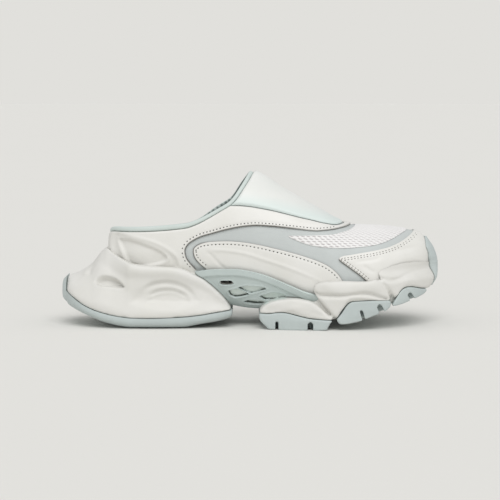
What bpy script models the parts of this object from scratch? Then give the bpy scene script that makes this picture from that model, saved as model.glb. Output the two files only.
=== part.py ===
# Sneaker mule for the right foot: a hollow upper with overlays, a foam midsole on pods, rubber outsoles.
# Frame: +X to the toe, -Y to the little-toe side, +Z up, the floor at z = 0, metres.

import bpy
import bmesh
import numpy as np
from mathutils import Matrix, Vector
from mathutils.bvhtree import BVHTree

# Driving sizes
SHOE_LENGTH = 0.311
SHOE_HEIGHT = 0.1274
UPPER_WIDTH = 0.100
UPPER_WALL = 0.0025
OVERLAY_THICKNESS = 0.0012
PANEL_THICKNESS = 0.0022
BINDING_HEIGHT = 0.0046
BINDING_THICKNESS = 0.0048
INSOLE_THICKNESS = 0.0045
RIM_WALL = 0.006
HEEL_FLARE = 0.0115
PLATE_THICKNESS = 0.0024
GUARD_THICKNESS = 0.0024
POD_EDGE = 0.0025
LEAST_HALF = 0.002
RUBBER_SET_BACK = 0.0006
DIMPLE_DEPTH = 0.0055
NOTCH_DEPTH = 0.014
NARROW_NOTCH = 0.0024
WIDE_NOTCH = 0.0044
SLOT_DEPTH = 0.009
CLEARANCE = 0.0003

# Sizes worked out from them
SOLE_WIDTH = UPPER_WIDTH + 2 * RIM_WALL
HEEL_WIDTH = 0.67 * UPPER_WIDTH + 2 * HEEL_FLARE
SIDES = {"lateral": -1.0, "medial": 1.0}

# Grid of the upper: stations behind and before the throat, rows from the feather line to the edge
REAR_STATIONS = 13
FRONT_STATIONS = 12
UPPER_ROWS = 10


def table(columns, rows):
    """A table of rows as one array per named column; the first column is the place."""
    return dict(zip(columns.split(), np.array(rows, float).T))


# The last along its length. along: 0 heel to 1 toe. feather, ridge: heights as shares of SHOE_HEIGHT.
# lateral, medial: half widths, centre: shift to +Y, as shares of UPPER_WIDTH.
LAST = table(
    "along feather ridge lateral medial centre",
    [
        (0.00, 0.360, 1.030, 0.325, 0.325, 0.000),
        (0.10, 0.348, 1.075, 0.335, 0.330, 0.000),
        (0.20, 0.345, 1.080, 0.345, 0.335, 0.000),
        (0.35, 0.330, 1.030, 0.360, 0.340, 0.000),
        (0.434, 0.306, 0.965, 0.375, 0.350, 0.000),
        (0.52, 0.268, 0.868, 0.408, 0.372, 0.000),
        (0.59, 0.225, 0.797, 0.443, 0.405, 0.000),
        (0.665, 0.200, 0.722, 0.475, 0.445, 0.000),
        (0.727, 0.199, 0.663, 0.494, 0.474, 0.002),
        (0.772, 0.202, 0.642, 0.500, 0.490, 0.005),
        (0.825, 0.212, 0.635, 0.497, 0.500, 0.010),
        (0.888, 0.236, 0.630, 0.470, 0.496, 0.020),
        (0.937, 0.262, 0.621, 0.435, 0.480, 0.032),
        (1.00, 0.293, 0.603, 0.400, 0.450, 0.050),
    ],
)

# The last's outline from the feather line (rise 0) to the ridge (rise 1). back, front: where each level
# ends, as shares of SHOE_LENGTH. The other columns are shares of the half width and of the height.
PROFILE = table(
    "rise back front rear_out rear_up instep_out instep_up vamp_out vamp_up",
    [
        (0.00, -0.352, 0.4500, 0.870, 0.000, 0.88, 0.00, 0.900, 0.000),
        (0.15, -0.368, 0.4660, 0.965, 0.100, 0.98, 0.14, 0.985, 0.130),
        (0.30, -0.374, 0.4740, 1.000, 0.195, 1.00, 0.30, 1.000, 0.300),
        (0.45, -0.372, 0.4765, 0.985, 0.300, 0.96, 0.47, 0.970, 0.500),
        (0.60, -0.365, 0.4705, 0.950, 0.420, 0.86, 0.64, 0.870, 0.690),
        (0.75, -0.348, 0.4585, 0.880, 0.580, 0.68, 0.80, 0.670, 0.850),
        (0.90, -0.325, 0.4420, 0.620, 0.800, 0.36, 0.94, 0.340, 0.965),
        (1.00, -0.290, 0.4250, 0.000, 1.000, 0.00, 1.00, 0.000, 1.000),
    ],
)
REAR_FORM_ENDS, INSTEP_FORM, VAMP_FORM_STARTS = 0.18, 0.45, 0.72
HEEL_ROUND, TOE_ROUND, TOE_POWER = 0.13, 0.25, 2.2

# The collar and throat edge seen from the side
TOPLINE = table(
    "x z",
    [
        (-0.400, 0.603), (-0.357, 0.604), (-0.264, 0.611), (-0.170, 0.628), (-0.125, 0.659),
        (-0.085, 0.706), (-0.055, 0.752), (-0.037, 0.790), (-0.0145, 0.875), (0.0096, 0.955),
        (0.030, 0.990), (0.500, 1.200),
    ],
)

# Outlines of the overlays seen from the side, x and z as shares of SHOE_LENGTH and SHOE_HEIGHT
PANEL_EDGE = [
    (0.260, 0.700), (0.246, 0.662), (0.228, 0.653), (0.209, 0.658), (0.182, 0.673), (0.155, 0.691),
    (0.129, 0.707), (0.077, 0.739), (0.051, 0.755), (0.025, 0.771), (-0.001, 0.784), (-0.060, 0.788),
]
QUARTER_EDGE = [
    (-0.142, 0.378), (-0.157, 0.417), (-0.166, 0.448), (-0.170, 0.487), (-0.168, 0.512), (-0.157, 0.544),
    (-0.131, 0.579), (-0.105, 0.598), (-0.066, 0.624), (-0.027, 0.643), (0.012, 0.651), (0.051, 0.646),
    (0.090, 0.637), (0.129, 0.627), (0.169, 0.617), (0.208, 0.621), (0.235, 0.628), (0.263, 0.639),
    (0.276, 0.650),
]
SADDLE_EDGE = [
    (-0.118, 0.379), (-0.134, 0.411), (-0.147, 0.452), (-0.150, 0.500), (-0.142, 0.526), (-0.124, 0.545),
    (-0.092, 0.554), (-0.053, 0.556), (-0.014, 0.548), (0.025, 0.532), (0.064, 0.511), (0.102, 0.489),
    (0.141, 0.463), (0.180, 0.430), (0.205, 0.399), (0.226, 0.356), (0.239, 0.312),
]
TOE_OVERLAY_EDGE = [
    (0.301, 0.304), (0.283, 0.342), (0.262, 0.380), (0.244, 0.411), (0.230, 0.437), (0.228, 0.449),
    (0.237, 0.464), (0.257, 0.471), (0.283, 0.481), (0.309, 0.490), (0.335, 0.501), (0.362, 0.515),
    (0.390, 0.539), (0.413, 0.566), (0.429, 0.589), (0.440, 0.608),
]
EDGE_GAP = 0.003

# Half widths of the forefoot sole as shares of SOLE_WIDTH, with its shift to +Y
SOLE_PLAN = table(
    "x half centre",
    [
        (-0.050, 0.360, 0.000), (0.030, 0.425, 0.000), (0.090, 0.455, 0.000), (0.150, 0.480, 0.000),
        (0.210, 0.497, 0.000), (0.270, 0.500, 0.004), (0.330, 0.487, 0.012), (0.380, 0.450, 0.022),
        (0.420, 0.410, 0.030), (0.460, 0.370, 0.038), (0.500, 0.330, 0.045),
    ],
)
SOLE_END, SOLE_ROUND, SOLE_POWER = 0.498, 0.16, 2.3

# Rounding of a pod's side: how far in from its outline, and how far back from the sole's edge
POD_SIDE = [(0.0, 1.0), (0.09, 0.30), (0.28, 0.0)]
TOE_SIDE = [(0.0, 1.0), (0.05, 0.5), (0.12, 0.2), (0.24, 0.05), (0.45, 0.0)]

# Outlines of the pods and of the rubber under them, seen from the side
REAR_POD = [
    (0.024, 0.104), (0.024, 0.124), (0.032, 0.155), (0.045, 0.181), (0.063, 0.196), (0.089, 0.206),
    (0.115, 0.207), (0.135, 0.200), (0.158, 0.184), (0.174, 0.155), (0.189, 0.124), (0.205, 0.086),
    (0.212, 0.066), (0.179, 0.070), (0.153, 0.076), (0.128, 0.089), (0.107, 0.102), (0.089, 0.111),
    (0.071, 0.111), (0.045, 0.102),
]
REAR_PAD = [
    (0.024, 0.099), (0.023, 0.066), (0.030, 0.041), (0.041, 0.018), (0.058, 0.000), (0.184, 0.000),
    (0.199, 0.018), (0.205, 0.043), (0.209, 0.062), (0.179, 0.067), (0.153, 0.073), (0.128, 0.086),
    (0.107, 0.099), (0.089, 0.108), (0.071, 0.108), (0.045, 0.099),
]
MIDDLE_POD = [
    (0.163, 0.246), (0.163, 0.271), (0.169, 0.290), (0.184, 0.305), (0.210, 0.312), (0.238, 0.315),
    (0.302, 0.312), (0.320, 0.322), (0.331, 0.313), (0.344, 0.277), (0.354, 0.239), (0.360, 0.208),
    (0.360, 0.186), (0.333, 0.188), (0.308, 0.190), (0.269, 0.186), (0.255, 0.180), (0.244, 0.155),
    (0.231, 0.111), (0.222, 0.080), (0.212, 0.097), (0.197, 0.138), (0.181, 0.182), (0.169, 0.220),
]
MIDDLE_PAD = [
    (0.223, 0.072), (0.226, 0.052), (0.234, 0.040), (0.256, 0.045), (0.285, 0.061), (0.308, 0.083),
    (0.329, 0.102), (0.347, 0.117), (0.357, 0.136), (0.362, 0.149), (0.361, 0.180), (0.333, 0.184),
    (0.308, 0.186), (0.270, 0.182), (0.258, 0.175), (0.247, 0.151), (0.234, 0.107),
]
TOE_POD = [
    (0.330, 0.345), (0.333, 0.372), (0.347, 0.388), (0.388, 0.414), (0.422, 0.419), (0.455, 0.416),
    (0.476, 0.405), (0.487, 0.385), (0.490, 0.350), (0.489, 0.310), (0.483, 0.270), (0.472, 0.245),
    (0.462, 0.243), (0.445, 0.249), (0.420, 0.264), (0.402, 0.263), (0.388, 0.246), (0.380, 0.219),
    (0.374, 0.200), (0.357, 0.252), (0.343, 0.300),
]
TOE_PAD = [
    (0.369, 0.150), (0.370, 0.172), (0.377, 0.190), (0.383, 0.214), (0.391, 0.241), (0.403, 0.257),
    (0.420, 0.258), (0.445, 0.243), (0.458, 0.237), (0.463, 0.228), (0.456, 0.211), (0.438, 0.193),
    (0.416, 0.176), (0.393, 0.159),
]

# Notches in the pads' edges: x and z of the top end and of the foot, and the width's name
REAR_NOTCHES = [((0.068, 0.058), (0.068, -0.02), NARROW_NOTCH), ((0.1545, 0.050), (0.1545, -0.02), WIDE_NOTCH)]
MIDDLE_NOTCHES = [((0.285, 0.125), (0.296, 0.040), NARROW_NOTCH), ((0.333, 0.150), (0.345, 0.080), WIDE_NOTCH)]
TOE_NOTCHES = [((0.415, 0.215), (0.430, 0.150), WIDE_NOTCH)]

# The heel pod along its length. line: its lower edge on the rubber, top: its upper edge, half: half width
# as a share of HEEL_WIDTH, wall: 0 for the tail's arched section, 1 for the straight wall round the upper.
HEEL_POD = table(
    "x line top half wall",
    [
        (-0.487, 0.222, 0.305, 0.150, 0.00),
        (-0.482, 0.211, 0.313, 0.210, 0.00),
        (-0.468, 0.190, 0.323, 0.290, 0.00),
        (-0.455, 0.170, 0.336, 0.335, 0.00),
        (-0.442, 0.150, 0.356, 0.370, 0.00),
        (-0.428, 0.133, 0.378, 0.400, 0.00),
        (-0.418, 0.123, 0.401, 0.416, 0.00),
        (-0.410, 0.117, 0.428, 0.428, 0.02),
        (-0.402, 0.110, 0.454, 0.438, 0.06),
        (-0.391, 0.102, 0.480, 0.450, 0.14),
        (-0.379, 0.095, 0.493, 0.460, 0.30),
        (-0.365, 0.087, 0.475, 0.470, 0.52),
        (-0.348, 0.079, 0.452, 0.480, 0.74),
        (-0.330, 0.074, 0.431, 0.488, 0.90),
        (-0.314, 0.070, 0.414, 0.494, 1.00),
        (-0.293, 0.068, 0.405, 0.498, 1.00),
        (-0.261, 0.067, 0.398, 0.500, 1.00),
        (-0.235, 0.068, 0.394, 0.498, 1.00),
        (-0.209, 0.071, 0.391, 0.495, 1.00),
        (-0.183, 0.074, 0.382, 0.488, 1.00),
        (-0.165, 0.077, 0.367, 0.482, 1.00),
        (-0.152, 0.080, 0.349, 0.478, 1.00),
        (-0.131, 0.085, 0.322, 0.468, 1.00),
        (-0.113, 0.092, 0.291, 0.458, 1.00),
        (-0.095, 0.099, 0.252, 0.448, 1.00),
        (-0.079, 0.105, 0.214, 0.436, 1.00),
        (-0.064, 0.110, 0.170, 0.422, 1.00),
        (-0.052, 0.114, 0.125, 0.405, 1.00),
    ],
)

# Side of the heel pod from its lower edge (rise 0) to its top (rise 1), shares of half width and height
HEEL_SIDE = table(
    "rise tail_out tail_up wall_out wall_up",
    [
        (0.00, 1.00, 0.00, 1.000, 0.00),
        (0.12, 1.02, 0.12, 1.010, 0.08),
        (0.25, 0.96, 0.30, 0.985, 0.20),
        (0.37, 0.87, 0.47, 0.945, 0.34),
        (0.50, 0.74, 0.63, 0.925, 0.50),
        (0.62, 0.58, 0.77, 0.935, 0.65),
        (0.75, 0.40, 0.89, 0.955, 0.79),
        (0.87, 0.22, 0.97, 0.960, 0.91),
        (1.00, 0.08, 1.00, 0.930, 1.00),
    ],
)

# Hollows in the heel pod's sides: centre, half length, half height, and how much the long axis falls to +X
HEEL_HOLLOWS = [
    (-0.218, 0.200, 0.078, 0.080, 0.25, 1.0),
    (-0.352, 0.292, 0.042, 0.046, 0.80, 0.9),
    (-0.437, 0.262, 0.034, 0.050, -0.60, 0.5),
]

# The heel rubber. top: its upper edge behind and on the pod's line, floor: its under side,
# half: as a share of HEEL_WIDTH, foot: half width of the under side as a share of half.
HEEL_RUBBER = table(
    "x top floor half foot",
    [
        (-0.5000, 0.222, 0.199, 0.105, 0.90),
        (-0.4985, 0.262, 0.178, 0.128, 0.88),
        (-0.4950, 0.292, 0.166, 0.148, 0.86),
        (-0.4900, 0.307, 0.154, 0.170, 0.84),
        (-0.4882, 0.309, 0.150, 0.177, 0.83),
        (-0.4881, 0.219, 0.150, 0.177, 0.83),
        (-0.4820, 0.209, 0.136, 0.235, 0.80),
        (-0.4680, 0.187, 0.117, 0.305, 0.77),
        (-0.4420, 0.147, 0.088, 0.385, 0.74),
        (-0.4180, 0.120, 0.065, 0.430, 0.72),
        (-0.3910, 0.099, 0.039, 0.462, 0.70),
        (-0.3650, 0.084, 0.021, 0.481, 0.69),
        (-0.3400, 0.074, 0.008, 0.494, 0.68),
        (-0.3140, 0.067, 0.000, 0.503, 0.68),
        (-0.2610, 0.064, 0.000, 0.510, 0.68),
        (-0.2090, 0.068, 0.000, 0.505, 0.68),
        (-0.1800, 0.071, 0.000, 0.498, 0.68),
        (-0.1310, 0.082, 0.020, 0.479, 0.69),
        (-0.0930, 0.096, 0.035, 0.456, 0.71),
        (-0.0640, 0.106, 0.052, 0.432, 0.74),
        (-0.0500, 0.110, 0.070, 0.412, 0.80),
        (-0.0480, 0.106, 0.080, 0.400, 0.84),
    ],
)

# The arch under the upper, and the core that joins the pods. low: its under side, half: half width of
# the core where no plate lies on it, as a share of SOLE_WIDTH.
ARCH = table(
    "x low top half",
    [
        (-0.200, 0.270, 0.345, 0.320), (-0.152, 0.235, 0.362, 0.340), (-0.105, 0.195, 0.378, 0.345),
        (-0.070, 0.166, 0.381, 0.350), (-0.040, 0.143, 0.381, 0.355), (0.000, 0.128, 0.369, 0.365),
        (0.038, 0.124, 0.346, 0.380), (0.077, 0.126, 0.311, 0.400), (0.115, 0.128, 0.273, 0.415),
        (0.145, 0.128, 0.245, 0.425), (0.170, 0.128, 0.232, 0.430), (0.200, 0.130, 0.232, 0.430),
        (0.235, 0.200, 0.262, 0.430), (0.300, 0.204, 0.262, 0.425), (0.350, 0.214, 0.270, 0.405),
        (0.385, 0.262, 0.295, 0.370), (0.430, 0.272, 0.310, 0.310),
    ],
)
ARCH_SIDE = table(
    "up out",
    [(0.00, 0.52), (0.06, 0.62), (0.18, 0.73), (0.36, 0.83), (0.58, 0.91), (0.80, 0.965), (1.00, 1.00)],
)
PLATE_ENDS = (-0.152, 0.166)
PLATE_OUTLINE = [
    (-0.148, 0.420), (-0.146, 0.351), (-0.126, 0.324), (-0.108, 0.293), (-0.090, 0.254), (-0.074, 0.216),
    (-0.060, 0.176), (-0.046, 0.130), (-0.045, 0.060), (0.014, 0.060), (0.018, 0.128), (0.027, 0.160),
    (0.042, 0.187), (0.062, 0.203), (0.089, 0.213), (0.115, 0.214), (0.137, 0.207), (0.152, 0.205),
    (0.158, 0.225), (0.158, 0.420),
]
SLOT = [(-0.080, 0.282), (-0.080, 0.305), (-0.045, 0.305), (-0.045, 0.280)]
WINDOWS = [
    [(-0.051, 0.238), (-0.046, 0.212), (-0.035, 0.203), (-0.020, 0.209), (-0.006, 0.222), (-0.030, 0.252)],
    [(-0.026, 0.257), (-0.001, 0.230), (0.031, 0.254), (-0.001, 0.281)],
    [(0.027, 0.207), (0.051, 0.190), (0.057, 0.207), (0.088, 0.214), (0.090, 0.225), (0.064, 0.232)],
    [(-0.014, 0.165), (0.012, 0.157), (0.026, 0.168), (0.024, 0.176), (0.004, 0.178)],
]

# Toe guard: half width down its height, in shares of SOLE_WIDTH
GUARD = table(
    "z half",
    [
        (0.262, 0.110), (0.280, 0.118), (0.315, 0.128), (0.360, 0.134), (0.385, 0.160), (0.405, 0.200),
        (0.440, 0.205), (0.507, 0.188), (0.534, 0.152), (0.561, 0.080),
    ],
)

WHITE = (0.80, 0.79, 0.76)
PANEL_WHITE = (0.76, 0.79, 0.77)
GREY_MINT = (0.56, 0.60, 0.58)
MINT = (0.50, 0.56, 0.54)


def read(rows, column, place):
    """The column's value at each place: cubic pieces that never pass the rows on either side."""
    knots = next(iter(rows.values()))
    values = rows[column]
    steps = np.diff(values) / np.diff(knots)
    both = steps[1:] * steps[:-1]
    total = np.where(both > 0, steps[1:] + steps[:-1], 1.0)
    slopes = np.concatenate([steps[:1], np.where(both > 0, 2 * both / total, 0.0), steps[-1:]])
    place = np.clip(np.asarray(place, float), knots[0], knots[-1])
    k = np.clip(np.searchsorted(knots, place) - 1, 0, len(knots) - 2)
    span = knots[k + 1] - knots[k]
    t = (place - knots[k]) / span
    start = values[k] * (1 + 2 * t) * (1 - t) ** 2 + slopes[k] * span * t * (1 - t) ** 2
    end = values[k + 1] * (3 - 2 * t) * t**2 + slopes[k + 1] * span * (t - 1) * t**2
    return start + end


def step_between(low, high, value):
    """0 below low, 1 above high, smooth between."""
    t = np.clip((value - low) / (high - low), 0, 1)
    return t * t * (3 - 2 * t)


def rounded_end(distance, depth, power):
    """Half width of an end that closes over the given depth, as a share of the full half width."""
    inward = 1 - np.clip(distance / depth, 0, 1)
    return np.maximum(1 - inward**power, 0) ** (1 / power)


def outline(shares):
    """An outline in metres from shares of the shoe's length and height."""
    return np.array(shares) * (SHOE_LENGTH, SHOE_HEIGHT)


def last_points(side, along, rise):
    """Points on the last: along from heel to toe, rise from the feather line to the ridge."""
    back = read(PROFILE, "back", rise)
    x = back + (read(PROFILE, "front", rise) - back) * along
    rear = 1 - step_between(REAR_FORM_ENDS, INSTEP_FORM, along)
    vamp = step_between(INSTEP_FORM, VAMP_FORM_STARTS, along)
    forms = (("rear", rear), ("instep", 1 - rear - vamp), ("vamp", vamp))
    out = sum(read(PROFILE, form + "_out", rise) * share for form, share in forms)
    up = sum(read(PROFILE, form + "_up", rise) * share for form, share in forms)
    ends = rounded_end(along, HEEL_ROUND, 2.0) * rounded_end(1 - along, TOE_ROUND, TOE_POWER)
    y = read(LAST, "centre", along) + SIDES[side] * read(LAST, side, along) * ends * out
    feather = read(LAST, "feather", along)
    z = feather + (read(LAST, "ridge", along) - feather) * up
    return np.stack([x * SHOE_LENGTH, y * UPPER_WIDTH, z * SHOE_HEIGHT], axis=-1)


def throat_place():
    """Where along the last the topline meets the ridge."""
    along = np.linspace(0.2, 0.8, 1201)
    ridge = last_points("lateral", along, np.ones_like(along))
    edge = read(TOPLINE, "z", ridge[:, 0] / SHOE_LENGTH) * SHOE_HEIGHT
    return along[np.argmax(ridge[:, 2] <= edge)]


def edge_rise(along):
    """The rise at which the collar's edge cuts the last, for each place along it."""
    rise = np.linspace(0, 1, 801)
    points = last_points("lateral", along[:, None], rise[None, :])
    over = points[..., 2] - read(TOPLINE, "z", points[..., 0] / SHOE_LENGTH) * SHOE_HEIGHT
    first = np.argmax(over > 0, axis=1)
    rows = np.arange(len(along))
    before = over[rows, first - 1]
    share = before / (before - over[rows, first])
    return np.where(first > 0, rise[first - 1] + share * rise[1], 1.0)


def upper_sheet():
    """The upper as one sheet of quads, with outward normals and the index of each grid point."""
    throat = throat_place()
    rear = throat * (1 - np.cos(np.pi * np.arange(REAR_STATIONS + 1) / REAR_STATIONS)) / 2
    front = throat + (1 - throat) * np.sin(np.pi / 2 * np.arange(1, FRONT_STATIONS + 1) / FRONT_STATIONS)
    along = np.concatenate([rear, front])
    cut = np.where(along < throat, edge_rise(along), 1.0)
    rise = np.linspace(0, 1, UPPER_ROWS)[None, :] * cut[:, None]
    grid = np.stack([last_points(side, along[:, None], rise) for side in SIDES])
    points, index = welded(grid.reshape(-1, 3))
    index = index.reshape(grid.shape[:3])
    lateral = strip_faces(index[0])
    medial = strip_faces(index[1])[:, ::-1]
    faces = whole_faces(np.concatenate([lateral, medial]))
    normals = vertex_normals(points, faces)
    feather = index[:, :, 0].reshape(-1)
    normals[feather, 2] = 0
    normals /= np.linalg.norm(normals, axis=1)[:, None]
    return {"points": points, "faces": faces, "normals": normals, "index": index, "throat": len(rear) - 1}


def welded(points, within=1e-7):
    """Points that coincide made one, and the index of each old point in the new list."""
    _, first, index = np.unique(np.round(points / within), axis=0, return_index=True, return_inverse=True)
    return points[first], index.reshape(-1)


def strip_faces(index):
    """Quads between neighbouring rows and columns of a grid of indices."""
    corners = [index[:-1, :-1], index[1:, :-1], index[1:, 1:], index[:-1, 1:]]
    return np.stack(corners, axis=-1).reshape(-1, 4)


def whole_faces(faces):
    """Faces as lists, with repeated corners taken out and lines dropped."""
    lists = [list(dict.fromkeys(int(corner) for corner in face)) for face in faces]
    return [face for face in lists if len(face) > 2]


def vertex_normals(points, faces):
    """Area-weighted mean of the normals of the faces round each point."""
    normals = np.zeros_like(points)
    for face in faces:
        a, b, c = points[face[0]], points[face[1]], points[face[2]]
        d = points[face[-1]]
        normals[face] += np.cross(c - a, d - b) if len(face) == 4 else np.cross(b - a, c - a)
    return normals / np.linalg.norm(normals, axis=1)[:, None]


def offset(sheet, distance):
    """The sheet's points moved out along its normals."""
    return sheet["points"] + sheet["normals"] * distance


def open_edges(faces):
    """Directed edges that only one face has."""
    edges = {(face[k], face[(k + 1) % len(face)]) for face in faces for k in range(len(face))}
    return [edge for edge in edges if edge[::-1] not in edges]


def shell(name, sheet, inner, outer, finish):
    """A closed wall between two offsets of a sheet."""
    count = len(sheet["points"])
    points = np.concatenate([offset(sheet, outer), offset(sheet, inner)])
    inside = [[corner + count for corner in face[::-1]] for face in sheet["faces"]]
    rims = [[b, a, a + count, b + count] for a, b in sorted(open_edges(sheet["faces"]))]
    return add_object(name, points, sheet["faces"] + inside + rims, finish)


def upper_form(name, sheet, distance, drop):
    """The solid inside an offset of the upper: floor across its feather line, lid across its topline."""
    points = offset(sheet, distance)
    index, throat = sheet["index"], sheet["throat"]
    points[np.unique(index[:, :, 0])] -= (0, 0, drop)
    floor = strip_faces(index[:, :, 0])
    lid = strip_faces(index[:, : throat + 1, -1])[:, ::-1]
    return add_object(name, points, sheet["faces"] + whole_faces(np.concatenate([floor, lid])), None)


def add_object(name, points, faces, finish):
    """One closed mesh object, its faces turned outward."""
    mesh = bpy.data.meshes.new(name)
    mesh.from_pydata([tuple(map(float, point)) for point in points], [], [list(face) for face in faces])
    tidy = bmesh.new()
    tidy.from_mesh(mesh)
    bmesh.ops.remove_doubles(tidy, verts=tidy.verts, dist=1e-7)
    bmesh.ops.triangulate(tidy, faces=tidy.faces)
    bmesh.ops.recalc_face_normals(tidy, faces=tidy.faces)
    tidy.to_mesh(mesh)
    tidy.free()
    thing = bpy.data.objects.new(name, mesh)
    bpy.context.scene.collection.objects.link(thing)
    if finish:
        mesh.materials.append(finish)
    return thing


def combine(body, operation, *tools):
    """Joins, cuts or trims a body with other solids, which are then removed."""
    for tool in tools:
        step = body.modifiers.new(operation.title(), "BOOLEAN")
        step.operation = operation
        step.solver = "EXACT"
        step.object = tool
    bpy.context.view_layer.update()
    result = body.evaluated_get(bpy.context.evaluated_depsgraph_get())
    mesh = bpy.data.meshes.new_from_object(result)
    body.modifiers.clear()
    body.data = mesh
    for tool in tools:
        bpy.data.objects.remove(tool)
    return body


def prism(name, points, low, high):
    """An outline in x and z drawn out between two values of y."""
    count = len(points)
    ends = [[(x, y, z) for x, z in points] for y in (low, high)]
    near = list(range(count))
    far = [k + count for k in reversed(near)]
    walls = [[(k + 1) % count, k, k + count, (k + 1) % count + count] for k in near]
    return add_object(name, np.array(ends[0] + ends[1]), [near, far] + walls, None)


def loft(name, rings, finish):
    """A solid through closed rings, capped at both ends."""
    stations, corners = rings.shape[:2]
    index = np.arange(stations * corners).reshape(stations, corners)
    closed = np.concatenate([index, index[:, :1]], axis=1)
    faces = whole_faces(strip_faces(closed)) + [list(index[0]), list(index[-1][::-1])]
    return add_object(name, rings.reshape(-1, 3), faces, finish)


def sole_half(x):
    """Half width of the forefoot sole at x, in metres, closing round the toe."""
    share = x / SHOE_LENGTH
    end = rounded_end(SOLE_END - share, SOLE_ROUND, SOLE_POWER)
    return read(SOLE_PLAN, "half", share) * end * SOLE_WIDTH


def pod(name, shares, side_rows, finish):
    """A bar across the sole with the given side outline and rounded ends."""
    edge = outline(shares)
    middle = edge.mean(axis=0)
    rings = []
    for sign in (-1, 1):
        for inward, back in side_rows[::sign]:
            ring = middle + (edge - middle) * (1 - inward)
            centre = read(SOLE_PLAN, "centre", ring[:, 0] / SHOE_LENGTH) * SOLE_WIDTH
            y = centre + sign * np.maximum(sole_half(ring[:, 0]) - back * POD_EDGE, LEAST_HALF)
            rings.append(np.stack([ring[:, 0], y, ring[:, 1]], axis=-1))
    return loft(name, np.array(rings), finish)


def notched(pad, notches):
    """Cuts the notches into both side edges of a pad."""
    for top, foot, width in notches:
        (x1, z1), (x0, z0) = outline([top, foot])
        sides = [(x0 - width / 2, z0), (x0 + width / 2, z0), (x1 + width / 2, z1), (x1 - width / 2, z1)]
        for sign in SIDES.values():
            inner = sign * (sole_half(np.array(x1)) - NOTCH_DEPTH)
            low, high = sorted((inner, sign * SOLE_WIDTH))
            combine(pad, "DIFFERENCE", prism("notch", sides, low, high))
    return pad


def heel_pod(finish):
    """The heel pod: arched sections on its tail, straight walls round the upper, hollows in its sides."""
    x = HEEL_POD["x"]
    wall = HEEL_POD["wall"][:, None]
    out = HEEL_SIDE["tail_out"] * (1 - wall) + HEEL_SIDE["wall_out"] * wall
    up = HEEL_SIDE["tail_up"] * (1 - wall) + HEEL_SIDE["wall_up"] * wall
    line, top = HEEL_POD["line"][:, None], HEEL_POD["top"][:, None]
    z = line + (top - line) * up
    y = HEEL_POD["half"][:, None] * out * HEEL_WIDTH
    for x0, z0, length, height, fall, depth in HEEL_HOLLOWS:
        along = (x[:, None] - x0) / length
        across = ((z - z0) + fall * (x[:, None] - x0)) / height
        y = y - DIMPLE_DEPTH * depth * np.maximum(1 - along**2 - across**2, 0) ** 0.8
    x = np.broadcast_to(x[:, None], y.shape)
    lateral = np.stack([x * SHOE_LENGTH, -y, z * SHOE_HEIGHT], axis=-1)
    medial = lateral[:, ::-1] * (1, -1, 1)
    return loft("heel_pod", np.concatenate([lateral, medial], axis=1), finish)


def heel_rubber(finish):
    """The heel outsole: a tread that rises to its ends, with a flange up the back of the pod."""
    rows = HEEL_RUBBER
    half = rows["half"] * HEEL_WIDTH
    waist = rows["floor"] + (rows["top"] - rows["floor"]) * 0.45
    side = [
        (half - RUBBER_SET_BACK, rows["top"]),
        (half, waist),
        (half * (1 + rows["foot"]) / 2, rows["floor"] + (rows["top"] - rows["floor"]) * 0.12),
        (half * rows["foot"], rows["floor"]),
    ]
    x = rows["x"] * SHOE_LENGTH
    lateral = np.stack([np.stack([x, -y, z * SHOE_HEIGHT], axis=-1) for y, z in side], axis=1)
    medial = lateral[:, ::-1] * (1, -1, 1)
    return loft("heel_outsole", np.concatenate([lateral, medial], axis=1), finish)


def reach(tree, x, z, sign):
    """How far out from the centre plane a solid stands at x and z, on one side."""
    hit = tree.ray_cast(Vector((x, sign * SOLE_WIDTH, z)), Vector((0, -sign, 0)))[0]
    return abs(hit.y) if hit else 0.0


def arch_rows(tree, x, sign):
    """Half width and height of the arch's side at x, from its under side to its top edge."""
    share = x / SHOE_LENGTH
    low, top = (float(read(ARCH, column, share)) * SHOE_HEIGHT for column in ("low", "top"))
    hug = reach(tree, x, top, sign) + CLEARANCE
    free = float(read(ARCH, "half", share)) * SOLE_WIDTH
    on_plate = PLATE_ENDS[0] <= share <= PLATE_ENDS[1]
    half = max(hug, 0.9 * free) if on_plate else free
    return [(half * out, low + (top - low) * up) for up, out in zip(ARCH_SIDE["up"], ARCH_SIDE["out"])]


def arch_core(tree, finish):
    """The foam that runs on under the upper and joins the pods."""
    rings = []
    for x in ARCH["x"] * SHOE_LENGTH:
        near = [(x, -y * 0.985, z) for y, z in arch_rows(tree, x, -1)[:-1]]
        far = [(x, y * 0.985, z) for y, z in arch_rows(tree, x, 1)[:-1]]
        rings.append(near[::-1] + far)
    return loft("arch_core", np.array(rings), finish)


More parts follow.
